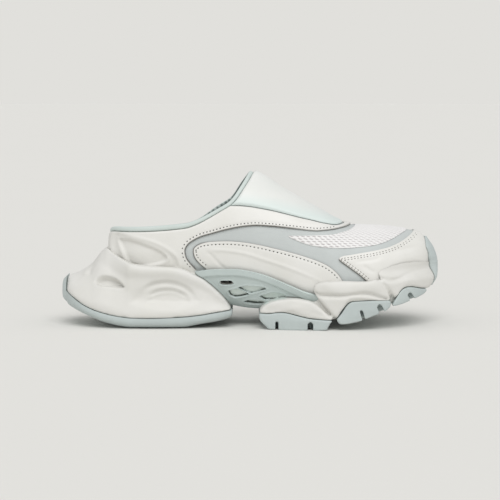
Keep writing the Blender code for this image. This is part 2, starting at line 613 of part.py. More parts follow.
def arch_plate(tree, finish):
    """The plate round the arch: a trough with windows and a slot, trimmed to its outline."""
    inside = ARCH["x"][(ARCH["x"] > -0.19) & (ARCH["x"] < 0.19)]
    grid = []
    for x in inside * SHOE_LENGTH:
        near = [(x, -y, z) for y, z in arch_rows(tree, x, -1)]
        far = [(x, y, z) for y, z in arch_rows(tree, x, 1)]
        grid.append(near[::-1] + [(x, 0, near[0][2])] + far)
    grid = np.array(grid)
    index = np.arange(grid.shape[0] * grid.shape[1]).reshape(grid.shape[:2])
    points = grid.reshape(-1, 3)
    faces = whole_faces(strip_faces(index)[:, ::-1])
    sheet = {"points": points, "faces": faces, "normals": vertex_normals(points, faces)}
    if sheet["normals"][index[len(inside) // 2, 0], 1] > 0:
        sheet["faces"] = [face[::-1] for face in faces]
        sheet["normals"] = -sheet["normals"]
    plate = shell("arch_plate", sheet, CLEARANCE, CLEARANCE + PLATE_THICKNESS, finish)
    combine(plate, "INTERSECT", prism("trim", outline(PLATE_OUTLINE), -SOLE_WIDTH, SOLE_WIDTH))
    for number, window in enumerate(WINDOWS + [SLOT]):
        combine(plate, "DIFFERENCE", prism(f"window_{number}", outline(window), -SOLE_WIDTH, SOLE_WIDTH))
    return plate


def cut_overlay(name, sheet, thickness, edges, low, high, finish):
    """A layer on the upper, cut from the wall between two offsets by an outline seen from the side."""
    layer = shell(name, sheet, CLEARANCE, CLEARANCE + thickness, finish)
    return combine(layer, "INTERSECT", prism("trim", outline(edges), low, high))


def collar_binding(sheet, finish):
    """The soft roll round the collar and throat, standing on the upper's edge."""
    index, throat = sheet["index"], sheet["throat"]
    loop = np.concatenate([index[0, : throat + 1, -1], index[1, 1:throat, -1][::-1]])
    edge, out = sheet["points"][loop], sheet["normals"][loop]
    run = np.roll(edge, -1, axis=0) - np.roll(edge, 1, axis=0)
    run /= np.linalg.norm(run, axis=1)[:, None]
    up = np.cross(out, run)
    up /= np.linalg.norm(up, axis=1)[:, None]
    up *= np.where(up[:, 2:] < 0, -1, 1)
    middle = edge + up * (BINDING_HEIGHT / 2 + CLEARANCE) + out * (OVERLAY_THICKNESS - UPPER_WALL) / 2
    turn = 2 * np.pi * np.arange(8) / 8
    rings = [
        middle + up * BINDING_HEIGHT / 2 * np.cos(angle) + out * BINDING_THICKNESS / 2 * np.sin(angle)
        for angle in turn
    ]
    rings = np.stack(rings, axis=1)
    index = np.arange(rings.shape[0] * rings.shape[1]).reshape(rings.shape[:2])
    index = np.concatenate([index, index[:, :1]], axis=1)
    index = np.concatenate([index, index[:1]], axis=0)
    return add_object("collar_binding", rings.reshape(-1, 3), whole_faces(strip_faces(index)), finish)


def insole(sheet, finish):
    """The footbed: a board that fills the bottom of the upper, a clearance inside its wall."""
    feather = sheet["index"][:, :, 0]
    edge = sheet["points"][feather] - sheet["normals"][feather] * (UPPER_WALL + 2 * CLEARANCE)
    along = np.linspace(0, 1, feather.shape[1])
    keep = np.where((along > 0) & (along < 1))[0]
    lower = edge[:, keep]
    upper = lower + (0, 0, INSOLE_THICKNESS)
    rings = np.stack([lower[0], lower[1], upper[1], upper[0]], axis=1)
    return loft("insole", rings, finish)


def bowed(place, value):
    """The tightest outward-bowed line over some values, read back at the same places."""
    kept = []
    for point in zip(place, value):
        while len(kept) > 1:
            (x1, v1), (x2, v2) = kept[-2:]
            if (v2 - v1) * (point[0] - x1) > (point[1] - v1) * (x2 - x1):
                break
            kept.pop()
        kept.append(point)
    return np.interp(place, *zip(*kept))


def toe_guard(tree, finish):
    """The guard up the toe: a strip that bows over what lies behind it, at a clearance."""
    rows = np.linspace(GUARD["z"][0], GUARD["z"][-1], 41)
    spread = np.linspace(-1, 1, 9)
    centre = read(SOLE_PLAN, "centre", SOLE_END) * SOLE_WIDTH
    y = centre + spread[None, :] * read(GUARD, "half", rows)[:, None] * SOLE_WIDTH
    behind = np.zeros_like(y)
    for i, j in np.ndindex(y.shape):
        start = Vector((SHOE_LENGTH, y[i, j], rows[i] * SHOE_HEIGHT))
        behind[i, j] = tree.ray_cast(start, Vector((-1, 0, 0)))[0].x
    fill = np.stack([bowed(rows, column) for column in behind.T], axis=1)[::3]
    z = np.broadcast_to(rows[::3, None] * SHOE_HEIGHT, fill.shape)
    y = y[::3]
    points = np.stack([fill, y, z], axis=-1).reshape(-1, 3)
    index = np.arange(fill.size).reshape(fill.shape)
    faces = whole_faces(strip_faces(index))
    normals = vertex_normals(points, faces)
    normals *= np.sign(normals[:, :1])
    sheet = {"points": points, "faces": faces, "normals": normals}
    return shell("toe_guard", sheet, 2 * CLEARANCE, 2 * CLEARANCE + GUARD_THICKNESS, finish)


def tree_of(*things):
    """A search tree over the surfaces of some objects."""
    points, faces = [], []
    for thing in things:
        start = len(points)
        points += [vertex.co.copy() for vertex in thing.data.vertices]
        faces += [[start + corner for corner in polygon.vertices] for polygon in thing.data.polygons]
    return BVHTree.FromPolygons(points, faces)


def settle():
    """Moves every piece so that the shoe's box is centred on the origin and stands on z = 0."""
    things = list(bpy.context.scene.objects)
    points = np.array([vertex.co for thing in things for vertex in thing.data.vertices])
    low, high = points.min(axis=0), points.max(axis=0)
    shift = Matrix.Translation((-(low[0] + high[0]) / 2, -(low[1] + high[1]) / 2, -low[2]))
    for thing in things:
        thing.data.transform(shift)


def make_finish(name, colour, roughness):
    """A plain Principled material."""
    finish = bpy.data.materials.new(name)
    finish.use_nodes = True
    shader = finish.node_tree.nodes["Principled BSDF"]
    shader.inputs["Base Color"].default_value = (*colour, 1)
    shader.inputs["Roughness"].default_value = roughness
    shader.inputs["Metallic"].default_value = 0
    return finish


def build():
    """Models every piece of the shoe."""
    for thing in list(bpy.data.objects):
        bpy.data.objects.remove(thing)
    foam = make_finish("foam", WHITE, 0.6)
    leather = make_finish("leather", WHITE, 0.45)
    textile = make_finish("textile", GREY_MINT, 0.9)
    smooth_panel = make_finish("smooth_panel", PANEL_WHITE, 0.35)
    soft_mint = make_finish("soft_mint", MINT, 0.8)
    rubber = make_finish("rubber", MINT, 0.55)
    hard_mint = make_finish("hard_mint", MINT, 0.4)

    sheet = upper_sheet()
    shell("upper", sheet, -UPPER_WALL, 0, textile)
    far = SOLE_WIDTH
    round_panel = [(x + EDGE_GAP, z - 2 * EDGE_GAP) for x, z in PANEL_EDGE[:3]]
    round_panel += [(x, z - 2 * EDGE_GAP) for x, z in PANEL_EDGE[3:]]
    behind = [(-0.064, 0.788), (-0.064, 1.1), (-0.45, 1.1), (-0.45, 0.05), (-0.142, 0.05)]
    quarter = QUARTER_EDGE + [(0.276, 0.70)] + round_panel + behind
    cut_overlay("quarter_overlay", sheet, OVERLAY_THICKNESS, quarter, -far, far, leather)
    panel = PANEL_EDGE + [(-0.060, 1.1), (0.260, 1.1)]
    cut_overlay("instep_panel", sheet, PANEL_THICKNESS, panel, -far, far, smooth_panel)
    saddle = SADDLE_EDGE + [(0.239, 0.05), (-0.118, 0.05)]
    cut_overlay("saddle_lateral", sheet, OVERLAY_THICKNESS, saddle, -far, 0, leather)
    cut_overlay("saddle_medial", sheet, OVERLAY_THICKNESS, saddle, 0, far, leather)
    toe = TOE_OVERLAY_EDGE + [(0.46, 0.65), (0.6, 0.65), (0.6, 0.05), (0.301, 0.05)]
    toe_overlay = cut_overlay("toe_overlay", sheet, OVERLAY_THICKNESS, toe, -far, far, leather)
    collar_binding(sheet, soft_mint)
    insole(sheet, textile)

    cavity = upper_form("cavity", sheet, OVERLAY_THICKNESS + 2 * CLEARANCE, CLEARANCE)
    form_tree = tree_of(cavity)
    midsole = heel_pod(foam)
    midsole.name = "midsole"
    pods = [pod("rear_pod", REAR_POD, POD_SIDE, foam), pod("middle_pod", MIDDLE_POD, POD_SIDE, foam)]
    pods.append(pod("toe_pod", TOE_POD, TOE_SIDE, foam))
    combine(midsole, "UNION", arch_core(form_tree, foam), *pods)
    combine(midsole, "DIFFERENCE", cavity)
    for sign in SIDES.values():
        deep = reach(form_tree, SLOT[0][0] * SHOE_LENGTH, SLOT[0][1] * SHOE_HEIGHT, sign) - SLOT_DEPTH
        low, high = sorted((sign * deep, sign * far))
        combine(midsole, "DIFFERENCE", prism("slot", outline(SLOT), low, high))
    arch_plate(form_tree, hard_mint)
    heel_rubber(rubber)
    notched(pod("outsole_rear_pad", REAR_PAD, POD_SIDE, rubber), REAR_NOTCHES)
    notched(pod("outsole_middle_pad", MIDDLE_PAD, POD_SIDE, rubber), MIDDLE_NOTCHES)
    notched(pod("outsole_toe_pad", TOE_PAD, TOE_SIDE, rubber), TOE_NOTCHES)
    toe_guard(tree_of(midsole, toe_overlay), rubber)
    settle()
    for thing in bpy.context.scene.objects:
        thing.data.shade_smooth()
        thing.data.set_sharp_from_angle(angle=0.7)


build()
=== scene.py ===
"""The looks of a sneaker mule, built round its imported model. +X to the toe, -Y to the outer side, metres."""

import math

import bmesh
import bpy
import numpy as np
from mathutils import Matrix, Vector
from mathutils.bvhtree import BVHTree


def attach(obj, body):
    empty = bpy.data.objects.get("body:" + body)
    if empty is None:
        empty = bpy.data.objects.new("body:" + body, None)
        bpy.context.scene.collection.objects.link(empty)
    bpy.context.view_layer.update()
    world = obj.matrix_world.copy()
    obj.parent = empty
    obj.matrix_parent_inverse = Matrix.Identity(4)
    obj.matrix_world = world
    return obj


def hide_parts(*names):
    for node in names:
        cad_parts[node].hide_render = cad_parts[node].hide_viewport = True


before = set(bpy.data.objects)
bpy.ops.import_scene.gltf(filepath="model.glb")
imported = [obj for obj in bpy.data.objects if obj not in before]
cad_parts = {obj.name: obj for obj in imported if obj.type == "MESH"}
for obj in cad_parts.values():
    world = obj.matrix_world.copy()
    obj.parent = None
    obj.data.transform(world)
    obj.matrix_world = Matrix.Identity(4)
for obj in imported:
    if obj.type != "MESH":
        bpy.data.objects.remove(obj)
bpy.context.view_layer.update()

# Sizes of the shoe, in metres
SHOE_LENGTH = 0.311
SHOE_HEIGHT = 0.1274
UPPER_WIDTH = 0.100
UPPER_WALL = 0.0025
OVERLAY_THICKNESS = 0.0012
QUARTER_HEIGHT = 0.0016
PANEL_THICKNESS = 0.0022
INSOLE_THICKNESS = 0.0045
RIM_WALL = 0.006
HEEL_FLARE = 0.0115
PLATE_THICKNESS = 0.0020
NOTCH_DEPTH = 0.014
NARROW_NOTCH = 0.0024
WIDE_NOTCH = 0.0044
SLOT_DEPTH = 0.009
CLEARANCE = 0.0003
SKIN_STEP, SKIN_ROWS = 0.00108, 112
MESH_STEP, MESH_ROWS = 0.00036, 150
FOAM_CELL, RUBBER_CELL = 0.00115, 0.0007
CORE_SHARE, CORE_DEPTH = 0.985, 0.0045
WEB_DEPTH = 0.0065
SEAM_CLOSE = 0.0012
EDGE_GAP = 0.003
STITCH_IN = 0.0026
TOE_STITCHES_IN = (0.0015, 0.0030)
FLUSH = 0.0004
# Width of the painted shadow strips at the arch windows' lower edges
GAP_SHADOW_WIDTH = 0.0007
RIB_PITCH = 0.0042
MESH_PITCH = (0.0047, 0.0022)
MESH_SINK = 0.0006
MESH_LEVEL = 0.545
DASH = (0.0021, 0.00044)
DASH_SLOPE = -0.24
BOLD_STITCH = (0.00066, 0.00046, 0.00036)
FINE_STITCH = (0.00075, 0.00032, 0.00024)
SOLE_WIDTH = UPPER_WIDTH + 2 * RIM_WALL
HEEL_WIDTH = 0.67 * UPPER_WIDTH + 2 * HEEL_FLARE
SIDES = {"lateral": -1.0, "medial": 1.0}
SETTLE = np.array([0.00008, -0.00037, 0.0])

# The camera: how far off, how high over the floor it looks from, and what it looks at
FRAME, SENSOR = 500, 36
CAMERA_REACH = 1.5
CAMERA_RISE = math.radians(5)
LOOKS_AT = 0.0603
FOCAL_SHARE = 1807.0
VIEW_CENTRE = (250.5, 250.0)

# The light: the room's share, the backdrop's tone, and where the key light comes from
AMBIENT = 0.60
BACKDROP = (225, 224, 220)
KEY_FROM, KEY_SPREAD, KEY_POWER = (0.12, -0.80, 1.0), 45, 1.54


def table(columns, rows):
    """A table of rows as one array per named column; the first column is the place."""
    return dict(zip(columns.split(), np.array(rows, float).T))


# The last along its length, heel to toe: heights as shares of SHOE_HEIGHT, widths of UPPER_WIDTH
LAST = table(
    "along feather ridge lateral medial centre",
    [
        (0.00, 0.360, 1.030, 0.325, 0.325, 0.000), (0.10, 0.348, 1.075, 0.335, 0.330, 0.000),
        (0.20, 0.345, 1.080, 0.345, 0.335, 0.000), (0.35, 0.330, 1.030, 0.360, 0.340, 0.000),
        (0.434, 0.306, 0.965, 0.375, 0.350, 0.000), (0.52, 0.268, 0.868, 0.408, 0.372, 0.000),
        (0.59, 0.225, 0.797, 0.443, 0.405, 0.000), (0.665, 0.200, 0.722, 0.475, 0.445, 0.000),
        (0.727, 0.199, 0.663, 0.494, 0.474, 0.002), (0.772, 0.202, 0.642, 0.500, 0.490, 0.005),
        (0.825, 0.212, 0.635, 0.497, 0.500, 0.010), (0.888, 0.236, 0.630, 0.470, 0.496, 0.020),
        (0.937, 0.262, 0.621, 0.435, 0.480, 0.032), (1.00, 0.293, 0.603, 0.400, 0.450, 0.050),
    ],
)

# The last's outline from the feather line (rise 0) to the ridge (rise 1)
PROFILE = table(
    "rise back front rear_out rear_up instep_out instep_up vamp_out vamp_up",
    [
        (0.00, -0.352, 0.4500, 0.870, 0.000, 0.88, 0.00, 0.900, 0.000),
        (0.15, -0.368, 0.4660, 0.965, 0.100, 0.98, 0.14, 0.985, 0.130),
        (0.30, -0.374, 0.4740, 1.000, 0.195, 1.00, 0.30, 1.000, 0.300),
        (0.45, -0.372, 0.4765, 0.985, 0.300, 0.96, 0.47, 0.970, 0.500),
        (0.60, -0.365, 0.4705, 0.950, 0.420, 0.86, 0.64, 0.870, 0.690),
        (0.75, -0.348, 0.4585, 0.880, 0.580, 0.68, 0.80, 0.670, 0.850),
        (0.90, -0.325, 0.4420, 0.620, 0.800, 0.36, 0.94, 0.340, 0.965),
        (1.00, -0.290, 0.4250, 0.000, 1.000, 0.00, 1.00, 0.000, 1.000),
    ],
)
REAR_FORM_ENDS, INSTEP_FORM, VAMP_FORM_STARTS = 0.18, 0.45, 0.72
HEEL_ROUND, TOE_ROUND, TOE_POWER = 0.13, 0.25, 2.2
CROWN = 0.10

# The collar and throat edge seen from the side
TOPLINE = table(
    "x z",
    [
        (-0.400, 0.603), (-0.357, 0.604), (-0.264, 0.611), (-0.170, 0.632), (-0.142, 0.654),
        (-0.115, 0.687), (-0.082, 0.733), (-0.050, 0.780), (-0.036, 0.815), (-0.0200, 0.872),
        (-0.0040, 0.930), (0.0100, 0.981), (0.030, 1.000), (0.500, 1.200),
    ],
)
INNER_DROP = table(
    "x drop",
    [
        (-0.400, 0.0046), (-0.200, 0.0044), (-0.145, 0.0036), (-0.122, 0.0026), (-0.095, 0.0010),
        (-0.068, 0.0002), (-0.049, 0.0003), (-0.036, 0.0), (-0.015, -0.0008), (0.010, -0.0005), (0.030, 0.0),
    ],
)
ROLL = table(
    "x height thick",
    [
        (-0.400, 0.0042, 0.0046), (-0.200, 0.0044, 0.0046), (-0.145, 0.0038, 0.0040),
        (-0.110, 0.0034, 0.0036), (-0.060, 0.0034, 0.0030), (0.030, 0.0036, 0.0030),
    ],
)

# Outlines of the overlays seen from the side, x and z as shares of SHOE_LENGTH and SHOE_HEIGHT
PANEL_EDGE = [
    (0.260, 0.697), (0.246, 0.657), (0.228, 0.648), (0.209, 0.653), (0.182, 0.667), (0.155, 0.684),
    (0.129, 0.699), (0.077, 0.732), (0.051, 0.747), (0.025, 0.760), (-0.001, 0.771), (-0.030, 0.778),
    (-0.060, 0.779),
]
QUARTER_EDGE = [
    (-0.142, 0.378), (-0.157, 0.417), (-0.166, 0.448), (-0.170, 0.487), (-0.168, 0.512), (-0.157, 0.544),
    (-0.131, 0.579), (-0.105, 0.598), (-0.066, 0.624), (-0.027, 0.643), (0.012, 0.651), (0.051, 0.646),
    (0.090, 0.637), (0.129, 0.627), (0.169, 0.617), (0.208, 0.621), (0.235, 0.628), (0.263, 0.639),
    (0.276, 0.650),
]
SADDLE_EDGE = [
    (-0.118, 0.379), (-0.134, 0.411), (-0.147, 0.452), (-0.150, 0.500), (-0.142, 0.526), (-0.124, 0.545),
    (-0.092, 0.554), (-0.053, 0.556), (-0.014, 0.548), (0.025, 0.532), (0.064, 0.511), (0.102, 0.489),
    (0.141, 0.463), (0.180, 0.430), (0.205, 0.399), (0.226, 0.356), (0.239, 0.312),
]
TOE_OVERLAY_EDGE = [
    (0.301, 0.304), (0.283, 0.342), (0.262, 0.380), (0.244, 0.411), (0.230, 0.437), (0.228, 0.449),
    (0.237, 0.464), (0.257, 0.471), (0.283, 0.481), (0.309, 0.490), (0.335, 0.501), (0.362, 0.515),
    (0.390, 0.539), (0.413, 0.566), (0.429, 0.589), (0.440, 0.608),
]
MESH_EDGE = [
    (0.098, 0.588), (0.121, 0.559), (0.154, 0.532), (0.193, 0.518), (0.244, 0.513), (0.296, 0.521),
    (0.336, 0.535), (0.371, 0.562), (0.397, 0.589), (0.419, 0.613), (0.450, 0.680), (0.300, 0.800),
    (0.285, 0.660), (0.262, 0.621), (0.242, 0.608), (0.221, 0.598), (0.194, 0.593), (0.129, 0.590),
]

# Half widths of the forefoot sole as shares of SOLE_WIDTH, with its shift to +Y
SOLE_PLAN = table(
    "x half centre",
    [
        (-0.050, 0.360, 0.000), (0.030, 0.425, 0.000), (0.090, 0.455, 0.000), (0.150, 0.480, 0.000),
        (0.210, 0.497, 0.000), (0.270, 0.500, 0.004), (0.330, 0.487, 0.012), (0.380, 0.450, 0.022),
        (0.420, 0.410, 0.030), (0.460, 0.370, 0.038), (0.500, 0.330, 0.045),
    ],
)
SOLE_END, SOLE_ROUND, SOLE_POWER = 0.498, 0.16, 2.3

# Outlines of the pods and of the rubber under them, seen from the side
REAR_POD = [
    (0.024, 0.104), (0.024, 0.120), (0.032, 0.144), (0.045, 0.166), (0.063, 0.182), (0.089, 0.195),
    (0.115, 0.198), (0.135, 0.193), (0.158, 0.180), (0.174, 0.155), (0.189, 0.124), (0.205, 0.086),
    (0.212, 0.066), (0.179, 0.070), (0.153, 0.076), (0.128, 0.089), (0.107, 0.102), (0.089, 0.111),
    (0.071, 0.111), (0.045, 0.102),
]
REAR_PAD = [
    (0.024, 0.099), (0.023, 0.066), (0.030, 0.041), (0.041, 0.018), (0.058, 0.000), (0.184, 0.000),
    (0.199, 0.018), (0.205, 0.043), (0.209, 0.062), (0.179, 0.067), (0.153, 0.073), (0.128, 0.086),
    (0.107, 0.099), (0.089, 0.108), (0.071, 0.108), (0.045, 0.099),
]
MIDDLE_POD = [
    (0.163, 0.246), (0.163, 0.271), (0.169, 0.290), (0.184, 0.305), (0.210, 0.312), (0.238, 0.315),
    (0.302, 0.312), (0.320, 0.322), (0.331, 0.313), (0.344, 0.277), (0.354, 0.239), (0.360, 0.208),
    (0.360, 0.186), (0.333, 0.188), (0.308, 0.190), (0.269, 0.186), (0.255, 0.180), (0.244, 0.155),
    (0.231, 0.111), (0.222, 0.080), (0.212, 0.097), (0.197, 0.138), (0.181, 0.182), (0.169, 0.220),
]
MIDDLE_PAD = [
    (0.223, 0.072), (0.226, 0.052), (0.234, 0.040), (0.256, 0.045), (0.285, 0.061), (0.308, 0.083),
    (0.329, 0.102), (0.347, 0.117), (0.357, 0.136), (0.362, 0.149), (0.361, 0.183), (0.333, 0.187),
    (0.308, 0.189), (0.270, 0.185), (0.257, 0.178), (0.246, 0.153), (0.234, 0.107),
]
TOE_POD = [
    (0.330, 0.345), (0.333, 0.372), (0.347, 0.388), (0.388, 0.414), (0.422, 0.419), (0.455, 0.416),
    (0.476, 0.405), (0.487, 0.385), (0.490, 0.350), (0.489, 0.310), (0.483, 0.270), (0.472, 0.245),
    (0.462, 0.243), (0.445, 0.249), (0.420, 0.264), (0.402, 0.263), (0.388, 0.246), (0.380, 0.219),
    (0.374, 0.200), (0.357, 0.252), (0.343, 0.300),
]
REAR_WEB = [
    (0.160, 0.160), (0.172, 0.188), (0.184, 0.184), (0.200, 0.140), (0.214, 0.100), (0.226, 0.080),
    (0.220, 0.068), (0.208, 0.066), (0.192, 0.090), (0.176, 0.130),
]
TOE_WEB = [
    (0.325, 0.300), (0.338, 0.345), (0.352, 0.335), (0.366, 0.270), (0.382, 0.212), (0.376, 0.180),
    (0.366, 0.165), (0.358, 0.180), (0.348, 0.220),
]
TOE_PAD = [
    (0.369, 0.150), (0.370, 0.172), (0.376, 0.193), (0.382, 0.217), (0.390, 0.244), (0.403, 0.261),
    (0.420, 0.262), (0.445, 0.247), (0.459, 0.241), (0.464, 0.230), (0.456, 0.211), (0.438, 0.193),
    (0.416, 0.176), (0.393, 0.159),
]

# Notches in the pads' edges: x and z of the top end and of the foot, and the width
REAR_NOTCHES = [
    ((0.068, 0.048), (0.068, -0.02), NARROW_NOTCH), ((0.1545, 0.040), (0.1545, -0.02), WIDE_NOTCH),
]
MIDDLE_NOTCHES = [
    ((0.285, 0.125), (0.296, 0.040), NARROW_NOTCH), ((0.333, 0.150), (0.345, 0.080), WIDE_NOTCH),
]
TOE_NOTCHES = [((0.415, 0.215), (0.430, 0.150), WIDE_NOTCH)]

# The toe pod's upper rear corner, and the ranges of x and z over which the pod is drawn on to the upper
TOE_CORNER = ((0.312, 0.330), (0.362, 0.440))
TOE_DRAWN = ((0.308, 0.328), (0.300, 0.385))

# The heel pod along its length. wall: 0 for the tail's arched section, 1 for the wall round the upper.
HEEL_POD = table(
    "x line top half wall",
    [
        (-0.487, 0.222, 0.305, 0.150, 0.00), (-0.482, 0.211, 0.313, 0.210, 0.00),
        (-0.468, 0.190, 0.323, 0.290, 0.00), (-0.455, 0.170, 0.336, 0.335, 0.00),
        (-0.442, 0.150, 0.356, 0.370, 0.00), (-0.428, 0.133, 0.378, 0.400, 0.00),
        (-0.418, 0.123, 0.401, 0.416, 0.00), (-0.410, 0.117, 0.428, 0.428, 0.02),
        (-0.402, 0.110, 0.454, 0.438, 0.06), (-0.391, 0.102, 0.480, 0.450, 0.14),
        (-0.379, 0.095, 0.493, 0.460, 0.30), (-0.365, 0.087, 0.475, 0.470, 0.52),
        (-0.348, 0.079, 0.452, 0.480, 0.74), (-0.330, 0.074, 0.431, 0.488, 0.90),
        (-0.314, 0.070, 0.414, 0.494, 1.00), (-0.293, 0.068, 0.405, 0.498, 1.00),
        (-0.261, 0.067, 0.398, 0.500, 1.00), (-0.235, 0.068, 0.394, 0.498, 1.00),
        (-0.209, 0.071, 0.391, 0.495, 1.00), (-0.183, 0.074, 0.382, 0.488, 1.00),
        (-0.165, 0.077, 0.367, 0.482, 1.00), (-0.152, 0.080, 0.349, 0.478, 1.00),
        (-0.131, 0.085, 0.322, 0.468, 1.00), (-0.113, 0.092, 0.291, 0.458, 1.00),
        (-0.095, 0.099, 0.252, 0.448, 1.00), (-0.079, 0.105, 0.214, 0.436, 1.00),
        (-0.064, 0.110, 0.170, 0.422, 1.00), (-0.052, 0.114, 0.125, 0.405, 1.00),
    ],
)
HEEL_SIDE = table(
    "rise tail_out tail_up wall_out wall_up",
    [
        (0.00, 1.00, 0.00, 1.000, 0.00), (0.12, 1.02, 0.12, 1.010, 0.08), (0.25, 0.96, 0.30, 0.985, 0.20),
        (0.37, 0.87, 0.47, 0.955, 0.34), (0.50, 0.74, 0.63, 0.935, 0.50), (0.62, 0.58, 0.77, 0.935, 0.65),
        (0.75, 0.40, 0.89, 0.955, 0.79), (0.87, 0.22, 0.97, 0.960, 0.91), (1.00, 0.08, 1.00, 0.930, 1.00),
    ],
)

# The heel rubber. half: as a share of HEEL_WIDTH, foot: half width of the under side as a share of half.
HEEL_RUBBER = table(
    "x top floor half foot",
    [
        (-0.5000, 0.222, 0.199, 0.105, 0.90), (-0.4985, 0.262, 0.178, 0.128, 0.88),
        (-0.4950, 0.292, 0.166, 0.148, 0.86), (-0.4900, 0.307, 0.154, 0.170, 0.84),
        (-0.4882, 0.309, 0.150, 0.177, 0.83), (-0.4881, 0.219, 0.150, 0.177, 0.83),
        (-0.4820, 0.209, 0.136, 0.235, 0.80), (-0.4680, 0.187, 0.117, 0.305, 0.77),
        (-0.4420, 0.147, 0.088, 0.385, 0.74), (-0.4180, 0.120, 0.065, 0.430, 0.72),
        (-0.3910, 0.099, 0.039, 0.462, 0.70), (-0.3650, 0.084, 0.021, 0.481, 0.69),
        (-0.3400, 0.074, 0.008, 0.494, 0.68), (-0.3140, 0.067, 0.000, 0.503, 0.68),
        (-0.2610, 0.064, 0.000, 0.510, 0.68), (-0.2090, 0.068, 0.000, 0.505, 0.68),
        (-0.1800, 0.071, 0.000, 0.498, 0.68), (-0.1310, 0.082, 0.020, 0.479, 0.69),
        (-0.0930, 0.096, 0.035, 0.456, 0.71), (-0.0640, 0.106, 0.052, 0.432, 0.74),
        (-0.0500, 0.110, 0.070, 0.412, 0.80), (-0.0480, 0.106, 0.080, 0.400, 0.84),
    ],
)

# The arch under the upper, and the core that joins the pods
ARCH = table(
    "x low top half",
    [
        (-0.200, 0.270, 0.345, 0.320), (-0.152, 0.235, 0.362, 0.340), (-0.105, 0.195, 0.378, 0.345),
        (-0.070, 0.166, 0.381, 0.350), (-0.040, 0.143, 0.381, 0.355), (0.000, 0.128, 0.369, 0.365),
        (0.038, 0.124, 0.346, 0.380), (0.077, 0.126, 0.311, 0.400), (0.115, 0.128, 0.273, 0.415),
        (0.145, 0.128, 0.245, 0.425), (0.170, 0.128, 0.232, 0.430), (0.200, 0.130, 0.232, 0.430),
        (0.235, 0.200, 0.262, 0.430), (0.300, 0.204, 0.262, 0.425), (0.350, 0.214, 0.270, 0.405),
        (0.385, 0.262, 0.295, 0.370), (0.430, 0.272, 0.310, 0.310),
    ],
)
ARCH_SIDE = table(
    "up out",
    [(0.00, 0.52), (0.06, 0.62), (0.18, 0.73), (0.36, 0.83), (0.58, 0.91), (0.80, 0.965), (1.00, 1.00)],
)
PLATE_ENDS = (-0.152, 0.188)
PLATE_OUTLINE = [
    (-0.148, 0.420), (-0.146, 0.351), (-0.126, 0.324), (-0.108, 0.293), (-0.090, 0.254), (-0.074, 0.216),
    (-0.060, 0.176), (-0.046, 0.130), (-0.045, 0.060), (0.044, 0.060), (0.046, 0.128), (0.050, 0.165),
    (0.058, 0.190), (0.070, 0.203), (0.089, 0.211), (0.115, 0.211), (0.137, 0.202), (0.152, 0.192),
    (0.166, 0.182), (0.178, 0.184), (0.181, 0.215), (0.181, 0.420),
]
SLOT = [(-0.080, 0.286), (-0.078, 0.304), (-0.049, 0.304), (-0.044, 0.286), (-0.052, 0.279), (-0.072, 0.278)]
WINDOWS = [
    [(-0.058, 0.240), (-0.053, 0.213), (-0.040, 0.198), (-0.020, 0.205), (-0.002, 0.219), (-0.034, 0.255)],
    [(-0.033, 0.261), (0.000, 0.224), (0.042, 0.254), (0.034, 0.268), (-0.008, 0.274)],
    [(0.024, 0.208), (0.036, 0.186), (0.060, 0.186), (0.092, 0.203), (0.090, 0.224), (0.062, 0.237)],
    [(-0.021, 0.168), (0.010, 0.156), (0.046, 0.157), (0.044, 0.168), (0.022, 0.182), (0.000, 0.183)],
]
GUARD = table(
    "z half front",
    [
        (0.250, 0.105, 0.4850), (0.270, 0.122, 0.4900), (0.311, 0.128, 0.4980), (0.360, 0.126, 0.5005),
        (0.385, 0.126, 0.5010), (0.405, 0.128, 0.5003), (0.441, 0.138, 0.4975), (0.493, 0.138, 0.4895),
        (0.534, 0.098, 0.4785), (0.561, 0.030, 0.4705),
    ],
)
GUARD_SQUARE, GUARD_SIDE, GUARD_LEAST = 5, 0.26, 0.0006


def read(rows, column, place):
    """The column's value at each place: cubic pieces that never pass the rows on either side."""
    knots = next(iter(rows.values()))
    values = rows[column]
    steps = np.diff(values) / np.diff(knots)
    both = steps[1:] * steps[:-1]
    total = np.where(both > 0, steps[1:] + steps[:-1], 1.0)
    slopes = np.concatenate([steps[:1], np.where(both > 0, 2 * both / total, 0.0), steps[-1:]])
    place = np.clip(np.asarray(place, float), knots[0], knots[-1])
    k = np.clip(np.searchsorted(knots, place) - 1, 0, len(knots) - 2)
    span = knots[k + 1] - knots[k]
    t = (place - knots[k]) / span
    start = values[k] * (1 + 2 * t) * (1 - t) ** 2 + slopes[k] * span * t * (1 - t) ** 2
    end = values[k + 1] * (3 - 2 * t) * t**2 + slopes[k + 1] * span * (t - 1) * t**2
    return start + end


def columns(rows, place):
    """All columns' values at each place, in the table's order."""
    return [read(rows, column, place) for column in list(rows)[1:]]


def step_between(low, high, value):
    """0 below low, 1 above high, smooth between."""
    t = np.clip((value - low) / (high - low), 0, 1)
    return t * t * (3 - 2 * t)


def rounded_end(distance, depth, power):
    """Half width of an end that closes over the given depth, as a share of the full half width."""
    inward = 1 - np.clip(distance / depth, 0, 1)
    return np.maximum(1 - inward**power, 0) ** (1 / power)


def outline(shares):
    """An outline in metres from shares of the shoe's length and height."""
    return np.array(shares) * (SHOE_LENGTH, SHOE_HEIGHT)


def seen(places, out=0.040):
    """Places in the camera's 500 x 500 view as x and z on a plane that far out to the outer side."""
    px, py = np.array(places, float).T
    reach = (CAMERA_REACH - out * math.cos(CAMERA_RISE)) / FOCAL_SHARE
    x = (px - VIEW_CENTRE[0]) * reach
    rise = (VIEW_CENTRE[1] - py) * reach + out * math.sin(CAMERA_RISE)
    return np.stack([x, LOOKS_AT + rise / math.cos(CAMERA_RISE)], axis=-1)


